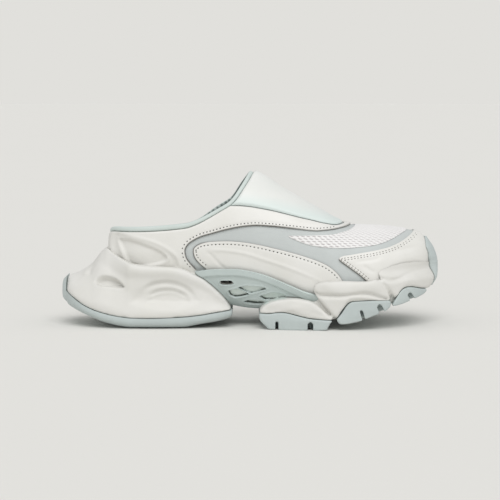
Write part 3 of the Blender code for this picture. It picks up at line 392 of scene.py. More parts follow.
def smooth_line(points, closed=False, steps=6):
    """A line through all the points that turns smoothly at each of them (Catmull-Rom pieces)."""
    points = np.asarray(points, float)
    before = points[-1:] if closed else 2 * points[:1] - points[1:2]
    after = points[:2] if closed else 2 * points[-1:] - points[-2:-1]
    p = np.concatenate([before, points, after])
    t = np.arange(steps)[None, :, None] / steps
    a, b, c, d = (p[k : len(p) - 3 + k, None] for k in range(4))
    line = 0.5 * (2 * b + (c - a) * t + (2 * a - 5 * b + 4 * c - d) * t**2 + (3 * b - a - 3 * c + d) * t**3)
    line = line.reshape(-1, 2)
    return line if closed else np.concatenate([line, points[-1:]])


def curve(shares, closed=False, steps=6):
    """A smooth line through places given in shares of the shoe's length and height."""
    return smooth_line(outline(shares), closed, steps)


def traced(places, out, closed=False):
    """A smooth line through places in the camera's view, on a plane that far out to the outer side."""
    return smooth_line(seen(places, out), closed)


def cornered(points, share=0.14, rounds=2):
    """A closed line with its corners cut back by a share of each side, twice over."""
    line = np.asarray(points, float)
    for _ in range(rounds):
        ahead = np.roll(line, -1, axis=0)
        cut = share * (ahead - line)
        line = np.stack([line + cut, ahead - cut], axis=1).reshape(-1, 2)
    return line


def gauge(line, places, closed=False):
    """Distance of each place from a line, in x and z. Closed: above zero inside the line, below outside.
    Open: also the share of the line's length at the nearest spot."""
    x, z = places[:, 0], places[:, -1]
    ends = np.roll(line, -1, axis=0) if closed else line[1:]
    starts = line if closed else line[:-1]
    run = np.concatenate([[0], np.cumsum(np.linalg.norm(ends - starts, axis=1))])
    best = np.full(len(x), 1e9)
    inside = np.zeros(len(x), bool)
    share = np.zeros(len(x))
    for k, ((x0, z0), (x1, z1)) in enumerate(zip(starts, ends)):
        dx, dz = x1 - x0, z1 - z0
        size = dx * dx + dz * dz
        if size < 1e-16:
            continue
        t = np.clip(((x - x0) * dx + (z - z0) * dz) / size, 0, 1)
        away = (x - x0 - t * dx) ** 2 + (z - z0 - t * dz) ** 2
        nearer = away < best
        best = np.where(nearer, away, best)
        if closed:
            inside ^= ((z0 > z) != (z1 > z)) & (x < x0 + (z - z0) * dx / (dz if dz else 1e-12))
        else:
            share = np.where(nearer, (run[k] + t * math.sqrt(size)) / run[-1], share)
    away = np.sqrt(best)
    return np.where(inside, away, -away) if closed else (away, share)


def bell(value, width):
    """1 at zero, falling away on both sides as exp(-(value / width)^2)."""
    return np.exp(-((value / width) ** 2))


def trough(places, line, width, depth, fade=0.12):
    """A soft valley along a line: depth times a bell of the distance over the width, faded at both ends."""
    away, share = gauge(line, places)
    ends = step_between(0, fade, share) * step_between(0, fade, 1 - share) if fade else 1.0
    return -depth * bell(away, width) * ends


def last_points(side, along, rise):
    """Points on the last: along from heel to toe, rise from the feather line to the ridge, which is rounded
    by a low shoulder t (1 - t)^2 on either side of it."""
    back = read(PROFILE, "back", rise)
    x = back + (read(PROFILE, "front", rise) - back) * along
    rear = 1 - step_between(REAR_FORM_ENDS, INSTEP_FORM, along)
    vamp = step_between(INSTEP_FORM, VAMP_FORM_STARTS, along)
    forms = (("rear", rear), ("instep", 1 - rear - vamp), ("vamp", vamp))
    out = sum(read(PROFILE, form + "_out", rise) * share for form, share in forms)
    up = sum(read(PROFILE, form + "_up", rise) * share for form, share in forms)
    shoulder = sum((1 - read(PROFILE, form + "_up", 1 - CROWN)) * share for form, share in forms)
    near_ridge = np.clip((1 - rise) / CROWN, 0, 1)
    up = up + shoulder * near_ridge * (1 - near_ridge) ** 2
    ends = rounded_end(along, HEEL_ROUND, 2.0) * rounded_end(1 - along, TOE_ROUND, TOE_POWER)
    y = read(LAST, "centre", along) + SIDES[side] * read(LAST, side, along) * ends * out
    feather = read(LAST, "feather", along)
    z = feather + (read(LAST, "ridge", along) - feather) * up
    return np.stack([x * SHOE_LENGTH, y * UPPER_WIDTH, z * SHOE_HEIGHT], axis=-1)


def throat_place():
    """Where along the last the topline meets the ridge."""
    along = np.linspace(0.2, 0.8, 1201)
    ridge = last_points("lateral", along, np.ones_like(along))
    edge = read(TOPLINE, "z", ridge[:, 0] / SHOE_LENGTH) * SHOE_HEIGHT
    return along[np.argmax(ridge[:, 2] <= edge)]


def below_topline(places):
    """How far below the collar's edge a place is; the inner side's edge is a little lower at the rear."""
    x, y, z = places[..., 0] - SETTLE[0], places[..., 1], places[..., 2]
    share = x / SHOE_LENGTH
    height = read(TOPLINE, "z", share) * SHOE_HEIGHT
    nudge = 0.002
    climb = read(TOPLINE, "z", share + nudge) - read(TOPLINE, "z", share - nudge)
    slope = climb * SHOE_HEIGHT / (2 * nudge * SHOE_LENGTH)
    hang = read(INNER_DROP, "drop", share) * step_between(-0.020, 0.020, y)
    return (height - hang - z) / np.sqrt(1 + slope**2)


def edge_rise(side, along):
    """The rise at which the collar's edge cuts the last, for each place along it."""
    rise = np.linspace(0, 1, 801)
    points = last_points(side, along[:, None], rise[None, :])
    over = -below_topline(points)
    first = np.argmax(over > 0, axis=1)
    rows = np.arange(len(along))
    before = over[rows, first - 1]
    share = before / (before - over[rows, first])
    return np.where(first > 0, rise[first - 1] + share * rise[1], 1.0)


def run_of(points):
    """Length run along each row of points, starting at zero."""
    steps = np.linalg.norm(np.diff(points, axis=-2), axis=-1)
    return np.concatenate([np.zeros(steps.shape[:-1] + (1,)), np.cumsum(steps, axis=-1)], axis=-1)


def last_sheet(step, rows, start=0.0, end=1.0, low=0.0):
    """The last's skin as a grid on both sides: stations a step apart round the heel and toe, rows evenly
    spread from a low rise to the ridge. Coincident points are one."""
    fine = np.linspace(0, 1, 6001)
    run = run_of(last_points("lateral", fine, np.full_like(fine, 0.3)))
    first, last = np.interp((start, end), fine, run)
    along = np.interp(np.linspace(first, last, int(round((last - first) / step)) + 1), run, fine)
    trial = np.linspace(low, 1, 161)
    lengths = run_of(last_points("lateral", along[:, None], trial[None, :]))
    even = np.linspace(0, 1, rows)
    rise = np.stack([np.interp(even * one[-1], one, trial) for one in lengths])
    grid = np.stack([last_points(side, along[:, None], rise) for side in SIDES]) + SETTLE
    lengthwise = np.broadcast_to(run_of(grid[0].mean(axis=1))[:, None], rise.shape)
    cloth = np.stack([lengthwise, run_of(grid[0])], axis=-1)
    points, index, first = welded(grid.reshape(-1, 3))
    index = index.reshape(grid.shape[:3])
    quads = np.concatenate([strip_faces(index[0]), strip_faces(index[1])[:, ::-1]])
    normals = vertex_normals(points, quads)
    if low == 0:
        feather = index[:, :, 0].reshape(-1)
        normals[feather, 2] = 0
        normals /= np.linalg.norm(normals, axis=1)[:, None]
    both = np.concatenate([cloth.reshape(-1, 2), cloth.reshape(-1, 2)])[first]
    return sheet_of(points, quads, normals, both, index)


def sheet_of(points, quads, normals, cloth, index=None):
    """A sheet: its points, faces, outward directions, place on the cloth, and how far it is pressed in."""
    parts = {"points": points, "quads": quads, "normals": normals, "cloth": cloth, "index": index}
    return {**parts, "press": np.zeros(len(points))}


def welded(points, within=1e-7):
    """Points that coincide made one, the index of each old point in the new list, and their first places."""
    _, first, index = np.unique(np.round(points / within), axis=0, return_index=True, return_inverse=True)
    return points[first], index.reshape(-1), first


def strip_faces(index):
    """Quads between neighbouring rows and columns of a grid of indices."""
    corners = [index[:-1, :-1], index[1:, :-1], index[1:, 1:], index[:-1, 1:]]
    return np.stack(corners, axis=-1).reshape(-1, 4)


def vertex_normals(points, quads):
    """Area-weighted mean of the normals of the quads round each point."""
    cross = np.cross(points[quads[:, 2]] - points[quads[:, 0]], points[quads[:, 3]] - points[quads[:, 1]])
    normals = np.zeros_like(points)
    for corner in quads.T:
        np.add.at(normals, corner, cross)
    return normals / np.maximum(np.linalg.norm(normals, axis=1), 1e-12)[:, None]


def add_piece(name, points, faces, finishes=(), smooth=0.7):
    """A mesh object from points and faces (lists or arrays of corners), with its doubles merged."""
    mesh = bpy.data.meshes.new(name)
    corners = [list(map(int, face)) for group in faces for face in group]
    mesh.from_pydata(np.asarray(points).tolist(), [], corners)
    for finish in finishes:
        mesh.materials.append(finish)
    mesh.validate()
    thing = bpy.data.objects.new(name, mesh)
    bpy.context.scene.collection.objects.link(thing)
    mesh.shade_smooth()
    if smooth:
        mesh.set_sharp_from_angle(angle=smooth)
    return thing


def settled(thing):
    """Makes an object's modifiers permanent in its own mesh."""
    bpy.context.view_layer.update()
    mesh = bpy.data.meshes.new_from_object(thing.evaluated_get(bpy.context.evaluated_depsgraph_get()))
    thing.modifiers.clear()
    thing.data = mesh
    return thing


def combine(body, operation, *tools):
    """Joins, cuts or trims a body with other solids, which are then removed."""
    for tool in tools:
        step = body.modifiers.new(operation.title(), "BOOLEAN")
        step.operation = operation
        step.solver = "EXACT"
        step.object = tool
    settled(body)
    for tool in tools:
        bpy.data.objects.remove(tool)
    return body


def turned_out(thing):
    """Faces of a closed mesh turned to point outwards, after its doubles are merged."""
    tidy = bmesh.new()
    tidy.from_mesh(thing.data)
    bmesh.ops.remove_doubles(tidy, verts=tidy.verts, dist=1e-7)
    bmesh.ops.recalc_face_normals(tidy, faces=tidy.faces)
    tidy.to_mesh(thing.data)
    tidy.free()
    return thing


def moulded(thing, voxel, rounds, finish):
    """A closed body recast in small even cells and eased, so that every corner is softly rounded."""
    cast = thing.modifiers.new("Recast", "REMESH")
    cast.mode = "VOXEL"
    cast.voxel_size = voxel
    ease = thing.modifiers.new("Ease", "SMOOTH")
    ease.factor = 0.5
    ease.iterations = rounds
    settled(thing)
    thing.data.materials.clear()
    thing.data.materials.append(finish)
    thing.data.shade_smooth()
    return thing


def places_of(thing):
    """The points of a mesh and their normals."""
    count = len(thing.data.vertices)
    points, normals = np.zeros(count * 3), np.zeros(count * 3)
    thing.data.vertices.foreach_get("co", points)
    thing.data.vertex_normals.foreach_get("vector", normals)
    return points.reshape(-1, 3), normals.reshape(-1, 3)


def put_places(thing, points):
    """Moves a mesh's points."""
    thing.data.vertices.foreach_set("co", points.astype(np.float32).ravel())
    thing.data.update()
    return thing


def carved(thing, relief):
    """Moves the side faces of a body in or out by a relief given over x and z: the move is scaled by how
    squarely the face looks sideways."""
    points, normals = places_of(thing)
    facing = step_between(0.15, 0.75, abs(normals[:, 1]))
    points += normals * (relief(points) * facing)[:, None]
    return put_places(thing, points)


def mark(thing, name, values):
    """Keeps one number for each point, for the material to read."""
    layer = thing.data.attributes.new(name, "FLOAT", "POINT")
    layer.data.foreach_set("value", np.asarray(values, np.float32))


def loft(name, rings):
    """A solid through closed rings, capped at both ends."""
    stations, corners = rings.shape[:2]
    index = np.arange(stations * corners).reshape(stations, corners)
    closed = np.concatenate([index, index[:, :1]], axis=1)
    ends = [list(index[0]), list(index[-1][::-1])]
    return turned_out(add_piece(name, rings.reshape(-1, 3) + SETTLE, [strip_faces(closed), ends]))


def prism(name, points, low, high):
    """An outline in x and z drawn out between two values of y."""
    count = len(points)
    ends = [[(x, y, z) for x, z in points] for y in (low, high)]
    near = list(range(count))
    walls = [[(k + 1) % count, k, k + count, (k + 1) % count + count] for k in near]
    faces = [[near, [k + count for k in reversed(near)]], walls]
    return turned_out(add_piece(name, np.array(ends[0] + ends[1]) + SETTLE, faces))


def cut_sheet(sheet, inside):
    """The part of a sheet where the gauge is above zero, cut cleanly: of each grid edge that the line
    crosses, the nearer end is moved along the surface on to the line. Returns a sheet."""
    points = sheet["points"].copy()
    normals, quads = sheet["normals"], sheet["quads"]
    depth = inside(points)
    ends = np.concatenate([quads[:, [k, (k + 1) % 4]] for k in range(4)])
    one, two = ends[depth[ends[:, 0]] * depth[ends[:, 1]] < 0].T
    near = np.unique(np.where(abs(depth[one]) <= abs(depth[two]), one, two))
    nudge = 2e-5
    slope = np.zeros((len(near), 3))
    for axis in (0, 2):
        move = np.zeros(3)
        move[axis] = nudge
        slope[:, axis] = (inside(points[near] + move) - inside(points[near] - move)) / (2 * nudge)
    n = normals[near]
    tangent = slope - n * (slope * n).sum(axis=1)[:, None]
    reach = -depth[near] / np.maximum((tangent**2).sum(axis=1), 0.04)
    move = tangent * reach[:, None]
    size = np.linalg.norm(move, axis=1)
    points[near] += move * np.minimum(1, 0.0012 / np.maximum(size, 1e-9))[:, None]
    depth[near] = 0
    kept = depth >= 0
    count = kept[quads].sum(axis=1)
    whole = quads[count == 4]
    three = quads[count == 3]
    out = np.argmin(kept[three], axis=1)[:, None]
    corners = np.take_along_axis(three, (out + np.arange(1, 4)) % 4, axis=1)
    used = np.unique(np.concatenate([whole.ravel(), corners.ravel()]))
    renumber = np.zeros(len(points), int)
    renumber[used] = np.arange(len(used))
    return {
        "points": points[used], "normals": normals[used], "depth": np.maximum(depth[used], 0),
        "quads": renumber[whole], "corners": renumber[corners], "cloth": sheet["cloth"][used],
        "press": sheet["press"][used],
    }


def rolled(depth, height, radius, lip=0.35):
    """Height of a layer with a rolled edge: a lip at its edge, then a quarter round up to the full height."""
    bend = 1 - np.clip(depth / radius, 0, 1)
    return height * (lip + (1 - lip) * np.sqrt(1 - bend**2))


def add_layer(
    name, sheet, inside, height, finish, thickness, relief=None, radius=0.0010, base=CLEARANCE, lip=0.5,
    spots=None, tone=None,
):
    """A layer on a sheet, inside a gauge, with a rolled edge, a relief and a wall behind it."""
    cut = cut_sheet(sheet, inside)
    lift = base + rolled(cut["depth"], height, radius, lip)
    if relief:
        lift = lift + relief(cut["points"], cut["depth"])
    raised = cut["points"] + cut["normals"] * lift[:, None]
    thing = add_piece(name, raised, [cut["quads"], cut["corners"]], [finish], 0)
    # The edge mark places a finish's edge colour: painted shadow on the leather, a mint tint on the panel.
    mark(thing, "edge", tone(cut["points"], cut["depth"]) if tone else cut["depth"])
    if spots:
        mark(thing, "spots", spots(cut["cloth"]))
    add_cloth(thing, cut["cloth"])
    wall = thing.modifiers.new("Wall", "SOLIDIFY")
    wall.thickness = thickness
    wall.offset = -1
    settled(thing)
    thing.data.set_sharp_from_angle(angle=1.0)
    return thing


def add_cloth(thing, cloth):
    """A UV map that runs in metres along the shoe and up it, for weaves."""
    layer = thing.data.uv_layers.new(name="cloth")
    corners = np.zeros(len(thing.data.loops), int)
    thing.data.loops.foreach_get("vertex_index", corners)
    layer.data.foreach_set("uv", np.asarray(cloth)[corners].astype(np.float32).ravel())


# Colours and finishes


def tint(red, green, blue):
    """A screen colour, 0 to 255, as light."""
    parts = np.array([red, green, blue]) / 255
    return tuple(np.where(parts > 0.04045, ((parts + 0.055) / 1.055) ** 2.4, parts / 12.92))


def group_of(name, inputs, outputs):
    """An empty shader node group with named number, colour or direction sockets."""
    group = bpy.data.node_groups.new(name, "ShaderNodeTree")
    kinds = {"f": "NodeSocketFloat", "c": "NodeSocketColor", "v": "NodeSocketVector"}
    for label, kind, value in inputs:
        socket = group.interface.new_socket(name=label, in_out="INPUT", socket_type=kinds[kind])
        if kind != "v":
            socket.default_value = value
    for label, kind in outputs:
        group.interface.new_socket(name=label, in_out="OUTPUT", socket_type=kinds[kind])
    return group, group.nodes.new("NodeGroupInput"), group.nodes.new("NodeGroupOutput")


def node(tree, kind, values=(), links=(), **settings):
    """A node with settings, socket values by name or number, and links from other sockets."""
    made = tree.nodes.new("ShaderNode" + kind)
    for key, value in settings.items():
        setattr(made, key, value)
    for key, value in dict(values).items():
        made.inputs[key].default_value = value
    for key, source in dict(links).items():
        tree.links.new(source, made.inputs[key])
    return made


def maths(tree, operation, one, two=None, three=None):
    """A Math node on sockets or numbers; its result socket."""
    made = tree.nodes.new("ShaderNodeMath")
    made.operation = operation
    for slot, value in enumerate((one, two, three)):
        if value is None:
            continue
        if isinstance(value, (int, float)):
            made.inputs[slot].default_value = value
        else:
            tree.links.new(value, made.inputs[slot])
    return made.outputs[0]


def make_grain():
    """Skin or mould grain: fine noise over small cells, and slow blotches for colour and gloss."""
    inputs = [("Place", "v", None), ("Scale", "f", 1500.0), ("Cells", "f", 0.5)]
    group, enter, leave = group_of("grain", inputs, [("Height", "f"), ("Blotch", "f")])
    place, scale = enter.outputs["Place"], enter.outputs["Scale"]
    fine = node(group, "TexNoise", {"Detail": 3.0}, {"Vector": place, "Scale": scale})
    cells = node(group, "TexVoronoi", {}, {"Vector": place, "Scale": maths(group, "MULTIPLY", scale, 0.45)})
    soft = maths(group, "MULTIPLY", cells.outputs["Distance"], enter.outputs["Cells"])
    blotch = node(group, "TexNoise", {"Scale": 38.0, "Detail": 4.0}, {"Vector": place})
    group.links.new(maths(group, "ADD", fine.outputs[0], soft), leave.inputs["Height"])
    group.links.new(blotch.outputs[0], leave.inputs["Blotch"])
    return group


def make_weave():
    """A plain weave: warp and weft ribs that rise in turn, from waves along and across the cloth."""
    inputs = [("Place", "v", None), ("Pitch", "f", 0.0009)]
    group, enter, leave = group_of("weave", inputs, [("Height", "f"), ("Gaps", "f")])
    parts = node(group, "SeparateXYZ", {}, {0: enter.outputs["Place"]})
    turns = []
    for axis in (0, 1):
        share = maths(group, "DIVIDE", parts.outputs[axis], enter.outputs["Pitch"])
        turns.append(maths(group, "SINE", maths(group, "MULTIPLY", share, math.pi)))
    cross = maths(group, "MULTIPLY", turns[0], turns[1])
    ribs = maths(group, "ADD", maths(group, "ABSOLUTE", turns[0]), maths(group, "ABSOLUTE", turns[1]))
    group.links.new(maths(group, "ADD", maths(group, "MULTIPLY", cross, 0.5), ribs), leave.inputs["Height"])
    gaps = node(group, "MapRange", {1: 0.25, 2: 0.7, 3: 1.0, 4: 0.0}, {0: ribs})
    group.links.new(gaps.outputs[0], leave.inputs["Gaps"])
    return group


GRAIN = make_grain()
WEAVE = make_weave()


def use_group(tree, group, values, links):
    """A group placed in a material."""
    made = tree.nodes.new("ShaderNodeGroup")
    made.node_tree = group
    for key, value in values.items():
        made.inputs[key].default_value = value
    for key, source in links.items():
        tree.links.new(source, made.inputs[key])
    return made


def blend_of(tree, share, one, two):
    """A colour between two, by a share socket."""
    mix = node(tree, "Mix", data_type="RGBA")
    tree.links.new(share, mix.inputs[0])
    for slot, value in ((6, one), (7, two)):
        if isinstance(value, tuple):
            mix.inputs[slot].default_value = (*value, 1)
        else:
            tree.links.new(value, mix.inputs[slot])
    return mix.outputs[2]


def make_finish(
    name, light, dark, rough, grain=2600.0, depth=0.00002, cells=0.5, coat=0.0, sheen=0.0, weave=None,
    edge=None, spots=None,
):
    """A finish: two near colours blotched together, grain or weave in its bump, and gloss that varies.
    weave: its pitch, its lift and the colour between its threads. edge: a colour that fades in towards a
    layer's edge, and over what width; on the leather this is painted shadow along the overlays' edges.
    spots: a colour for marked points; on the binding this is painted shade on its inward side."""
    light, dark = tint(*light), tint(*dark)
    finish = bpy.data.materials.new(name)
    finish.use_nodes = True
    tree = finish.node_tree
    shader = tree.nodes["Principled BSDF"]
    place = node(tree, "TexCoord").outputs["Object"]
    fine = use_group(tree, GRAIN, {"Scale": grain, "Cells": cells}, {"Place": place})
    mix = node(tree, "MapRange", {1: 0.35, 2: 0.65}, {0: fine.outputs["Blotch"]}).outputs[0]
    colour = blend_of(tree, mix, dark, light)
    height = maths(tree, "MULTIPLY", fine.outputs["Height"], depth)
    if weave:
        pitch, lift, shade = weave
        uv = node(tree, "UVMap", uv_map="cloth").outputs[0]
        cloth = use_group(tree, WEAVE, {"Pitch": pitch}, {"Place": uv})
        height = maths(tree, "MULTIPLY_ADD", cloth.outputs["Height"], lift, height)
        colour = blend_of(tree, maths(tree, "MULTIPLY", cloth.outputs["Gaps"], 0.6), colour, shade)
    if edge:
        tone, width = edge
        mark_node = node(tree, "Attribute", attribute_name="edge")
        near = node(tree, "MapRange", {1: 0.0, 2: width, 3: 1.0, 4: 0.0}, {0: mark_node.outputs["Fac"]})
        near.interpolation_type = "SMOOTHSTEP"
        colour = blend_of(tree, near.outputs[0], colour, tone)
    if spots:
        mark_node = node(tree, "Attribute", attribute_name="spots")
        colour = blend_of(tree, mark_node.outputs["Fac"], colour, spots)
    tree.links.new(colour, shader.inputs["Base Color"])
    rough_mix = node(tree, "MapRange", {3: rough - 0.05, 4: rough + 0.05}, {0: fine.outputs["Blotch"]})
    tree.links.new(rough_mix.outputs[0], shader.inputs["Roughness"])
    bump = node(tree, "Bump", {"Strength": 1.0, "Distance": 1.0}, {"Height": height})
    tree.links.new(bump.outputs[0], shader.inputs["Normal"])
    shader.inputs["Coat Weight"].default_value = coat
    shader.inputs["Coat Roughness"].default_value = 0.35
    shader.inputs["Sheen Weight"].default_value = sheen
    shader.inputs["Specular IOR Level"].default_value = 0.4
    return finish


# The leather's edge colour is painted shadow: a dark line along the overlays' edges, where they shade the
# layer under them.
LEATHER = make_finish("leather_white", (229, 228, 224), (225, 224, 219), 0.45, 1100.0, 0.00004, coat=0.06,
                      edge=(tint(70, 66, 60), 0.0013))
PANEL = make_finish("panel_white", (230, 231, 228), (226, 228, 224), 0.42, depth=0.000015, sheen=0.1,
                    edge=(tint(216, 226, 223), 0.0110))
TEXTILE = make_finish("textile_grey_mint", (200, 205, 204), (194, 199, 198), 0.75, sheen=0.2,
                      weave=(0.0007, 0.00004, tint(170, 176, 174)))
MESH = make_finish("mesh_white", (238, 237, 236), (233, 232, 231), 0.6, depth=0.00001,
                   weave=(0.0005, 0.00002, tint(225, 224, 220)), spots=tint(178, 172, 173))
LINING = make_finish("lining_mint", (190, 201, 198), (182, 193, 190), 0.8, sheen=0.3,
                     weave=(0.0010, 0.00008, tint(140, 152, 149)))
# The binding's spots colour is painted shade, for the roll's inward-facing side.
BINDING = make_finish("binding_mint", (208, 218, 214), (201, 211, 207), 0.55, sheen=0.2,
                      weave=(0.0008, 0.00003, tint(190, 201, 197)), spots=tint(112, 122, 119))
FOAM = make_finish("foam_white", (222, 221, 217), (218, 217, 212), 0.5, 1900.0, cells=0.2,
                   spots=tint(222, 232, 227))
# A dark grey for the strips of painted shadow at the arch windows' lower edges.
GAP_SHADOW = make_finish("shadow_grey", (92, 100, 94), (84, 92, 86), 0.7, 1900.0)
RUBBER = make_finish("rubber_mint", (190, 199, 198), (184, 193, 192), 0.5, 1700.0, cells=0.3)
PLATE = make_finish("plate_mint", (196, 207, 205), (190, 201, 199), 0.34, 2300.0, 0.000012, cells=0.2)
PALE_THREAD = make_finish("thread_pale", (118, 115, 109), (104, 101, 96), 0.8, 3000.0)
THREAD = make_finish("thread_grey", (72, 72, 68), (58, 58, 55), 0.8, 3000.0)


# The camera

camera_data = bpy.data.cameras.new("camera")
camera = bpy.data.objects.new("camera", camera_data)
bpy.context.scene.collection.objects.link(camera)
camera_data.sensor_width = SENSOR
camera_data.lens = FOCAL_SHARE * SENSOR / FRAME
camera_data.clip_start, camera_data.clip_end = 0.05, 30
off_centre = (FRAME / 2 - VIEW_CENTRE[0]) * CAMERA_REACH / FOCAL_SHARE
back, up = CAMERA_REACH * math.cos(CAMERA_RISE), CAMERA_REACH * math.sin(CAMERA_RISE)
camera.location = (off_centre, -back, LOOKS_AT + up)
camera.rotation_euler = (math.pi / 2 - CAMERA_RISE, 0, 0)
bpy.context.scene.camera = camera


# The upper

RECESS_OUT = 0.034
recess_out = traced([
    (115, 235), (124, 236), (135, 238.7), (148, 242), (160, 246.5), (172.5, 254), (177, 260), (176, 268),
    (150, 273), (125, 269), (113, 250)], RECESS_OUT, closed=True)
recess_in = traced([
    (119.2, 240.6), (124, 240), (131, 240.6), (147.5, 245.6), (160, 251), (166.5, 256.5), (166, 260.5),
    (159, 263.5), (147, 266), (131, 266.5), (122.5, 251)], RECESS_OUT, closed=True)
lip_foot = seen([(165, 259)], RECESS_OUT)[0, 1]
skin = last_sheet(SKIN_STEP, SKIN_ROWS)
near_heel = skin["points"][:, 0] < -0.05
heel_points = skin["points"][near_heel]
from_out = gauge(recess_out, heel_points, closed=True)
from_in = gauge(recess_in, heel_points, closed=True)
skin["press"][near_heel] = (
    0.0006 * bell(from_out + 0.0012, 0.0013) - 0.0010 * step_between(-0.0008, 0.0024, from_out)
    + 0.0005 * bell(from_in + 0.0012, 0.0011) * step_between(-0.004, 0.0, heel_points[:, 2] - lip_foot)
    - 0.0017 * step_between(-0.0004, 0.0013, from_in)
)
skin["points"] += skin["normals"] * skin["press"][:, None]


def upper_shell():
    """The upper's wall: the skin below the topline and the same moved inwards, with both edges closed."""
    cut = cut_sheet(skin, below_topline)
    count = len(cut["points"])
    inner = cut["points"] - cut["normals"] * (UPPER_WALL + cut["press"])[:, None]
    quads, corners = cut["quads"], cut["corners"]
    edges = [quads[:, [k, (k + 1) % 4]] for k in range(4)] + [corners[:, [k, (k + 1) % 3]] for k in range(3)]
    edges = np.concatenate(edges)
    keys = edges.min(axis=1) * count + edges.max(axis=1)
    _, first, uses = np.unique(keys, return_index=True, return_counts=True)
    one, two = edges[first[uses == 1]].T
    rims = np.stack([two, one, one + count, two + count], axis=1)
    faces = [quads, corners, quads[:, ::-1] + count, corners[:, ::-1] + count, rims]
    thing = add_piece("upper_textile", np.concatenate([cut["points"], inner]), faces, [TEXTILE, LINING], 1.0)
    add_cloth(thing, np.concatenate([cut["cloth"]] * 2))
    slots = np.zeros(len(thing.data.polygons), int)
    skins = len(quads) + len(corners)
    slots[skins : 2 * skins] = 1
    thing.data.polygons.foreach_set("material_index", slots)
    return thing


def joined_outline(edge, rest):
    """A smooth edge carried on by straight lines round the rest."""
    return np.concatenate([curve(edge), outline(rest)])


def gauge_of(line):
    """A gauge above zero inside a closed line."""
    return lambda places: gauge(line, places - SETTLE, closed=True)


def under_collar(line):
    """A gauge above zero inside a closed line and below the topline."""
    return lambda places: np.minimum(gauge(line, places - SETTLE, closed=True), below_topline(places))


upper = upper_shell()

far_round = [(-0.064, 0.788), (-0.064, 1.3), (-0.6, 1.3), (-0.6, -0.1), (-0.142, -0.1)]
round_panel = [(x + EDGE_GAP, z - 2 * EDGE_GAP) for x, z in PANEL_EDGE[:3]]
round_panel += [(x, z - 2 * EDGE_GAP) for x, z in PANEL_EDGE[3:]]
quarter_edge, saddle_edge = curve(QUARTER_EDGE), curve(SADDLE_EDGE)
toe_edge, panel_edge = curve(TOE_OVERLAY_EDGE), curve(PANEL_EDGE)
past_panel = [(0.276, 0.70)]
quarter_line = np.concatenate([quarter_edge, outline(past_panel), curve(round_panel), outline(far_round)])


def quarter_relief(places, depth):
    """The stitch row's groove along the lower edge."""
    away, _ = gauge(quarter_edge, places - SETTLE)
    return -0.00035 * bell(away - STITCH_IN, 0.0007)


def lower_edge_shadow(places, depth):
    """Distance from the quarter's lower edge alone, for the painted shadow line along it, which fades out
    towards the toe.
    """
    fading = step_between(0.06, 0.16, places[:, 0] / SHOE_LENGTH)
    return abs(gauge(quarter_edge, places - SETTLE)[0]) + 0.0006 * fading


def rear_edge_shadow(places, depth):
    """Distance from the saddle's edge, for the painted shadow line along it, drawn at its rear end only."""
    return depth + 0.0004 * step_between(-0.135, -0.105, places[:, 0] / SHOE_LENGTH)


def under_edge_shadow(places, depth):
    """Distance from the toe overlay's edge, for the painted shadow line along it, drawn below its point only.
    """
    return depth + 0.0014 * step_between(0.440, 0.462, places[:, 2] / SHOE_HEIGHT)


def panel_tint(places, depth):
    """Distance from the panel's lower line alone."""
    return abs(gauge(panel_edge, places - SETTLE)[0])


quarter = add_layer("quarter", skin, under_collar(quarter_line), QUARTER_HEIGHT, LEATHER, OVERLAY_THICKNESS,
                    quarter_relief, lip=0.55, tone=lower_edge_shadow)

saddle_line = joined_outline(SADDLE_EDGE, [(0.239, -0.1), (-0.118, -0.1)])
emboss = traced([(205, 251), (209, 254), (214, 259), (220, 265), (227, 270)], 0.042)
emboss_top = traced([
    (206, 251), (225, 251), (245, 254), (265, 260), (290, 268), (315, 278), (335, 288)], 0.044)


def saddle_relief(places, depth):
    """A stitch groove, and the inner panel's soft step."""
    row = -0.00035 * bell(depth - STITCH_IN, 0.0007)
    away, share = gauge(emboss_top, places)
    ends = step_between(0, 0.08, share) * step_between(0, 0.35, 1 - share)
    return row + 0.0006 * bell(away, 0.0013) * ends + trough(places, emboss, 0.0012, 0.0007, 0.2)


saddles = {}
for side, sign in SIDES.items():
    def on_side(places, sign=sign):
        """Inside the saddle's outline, on its own side."""
        return np.minimum(gauge(saddle_line, places - SETTLE, closed=True), sign * (places[:, 1] - SETTLE[1]))
    saddles[side] = add_layer(f"saddle_{side}_skin", skin, on_side, OVERLAY_THICKNESS, LEATHER,
                              OVERLAY_THICKNESS, saddle_relief, tone=rear_edge_shadow)

toe_line = joined_outline(TOE_OVERLAY_EDGE, [(0.46, 0.65), (0.6, 0.65), (0.6, -0.1), (0.301, -0.1)])
toe_creases = [
    (traced([(352, 261.5), (362, 261), (372, 260), (384, 257.5)], 0.045), 0.0016, 0.0006),
    (traced([(386, 253.5), (398, 251), (410, 249.5), (421, 249.5)], 0.035), 0.0018, 0.0007),
    (traced([(361, 264), (367, 268.5), (376, 273.5)], 0.045), 0.0015, 0.0006),
    (traced([(384, 270), (396, 266), (410, 264), (424, 263)], 0.035), 0.0026, 0.0005),
]


def toe_relief(places, depth):
    """Two stitch grooves, and the vamp's faint flex creases."""
    rows = sum(-0.0003 * bell(depth - inset, 0.0005) for inset in TOE_STITCHES_IN)
    return rows + sum(trough(places, line, width, deep, 0.3) for line, width, deep in toe_creases)


toe_overlay = add_layer("toe_cap_skin", skin, gauge_of(toe_line), OVERLAY_THICKNESS, LEATHER,
                        OVERLAY_THICKNESS, toe_relief, tone=under_edge_shadow)

panel_line = np.concatenate([panel_edge, outline([(-0.060, 1.3), (0.260, 1.3)])])
instep = add_layer("instep_panel_skin", skin, under_collar(panel_line), PANEL_THICKNESS, PANEL,
                   PANEL_THICKNESS, radius=0.0022, lip=0.3, tone=panel_tint)

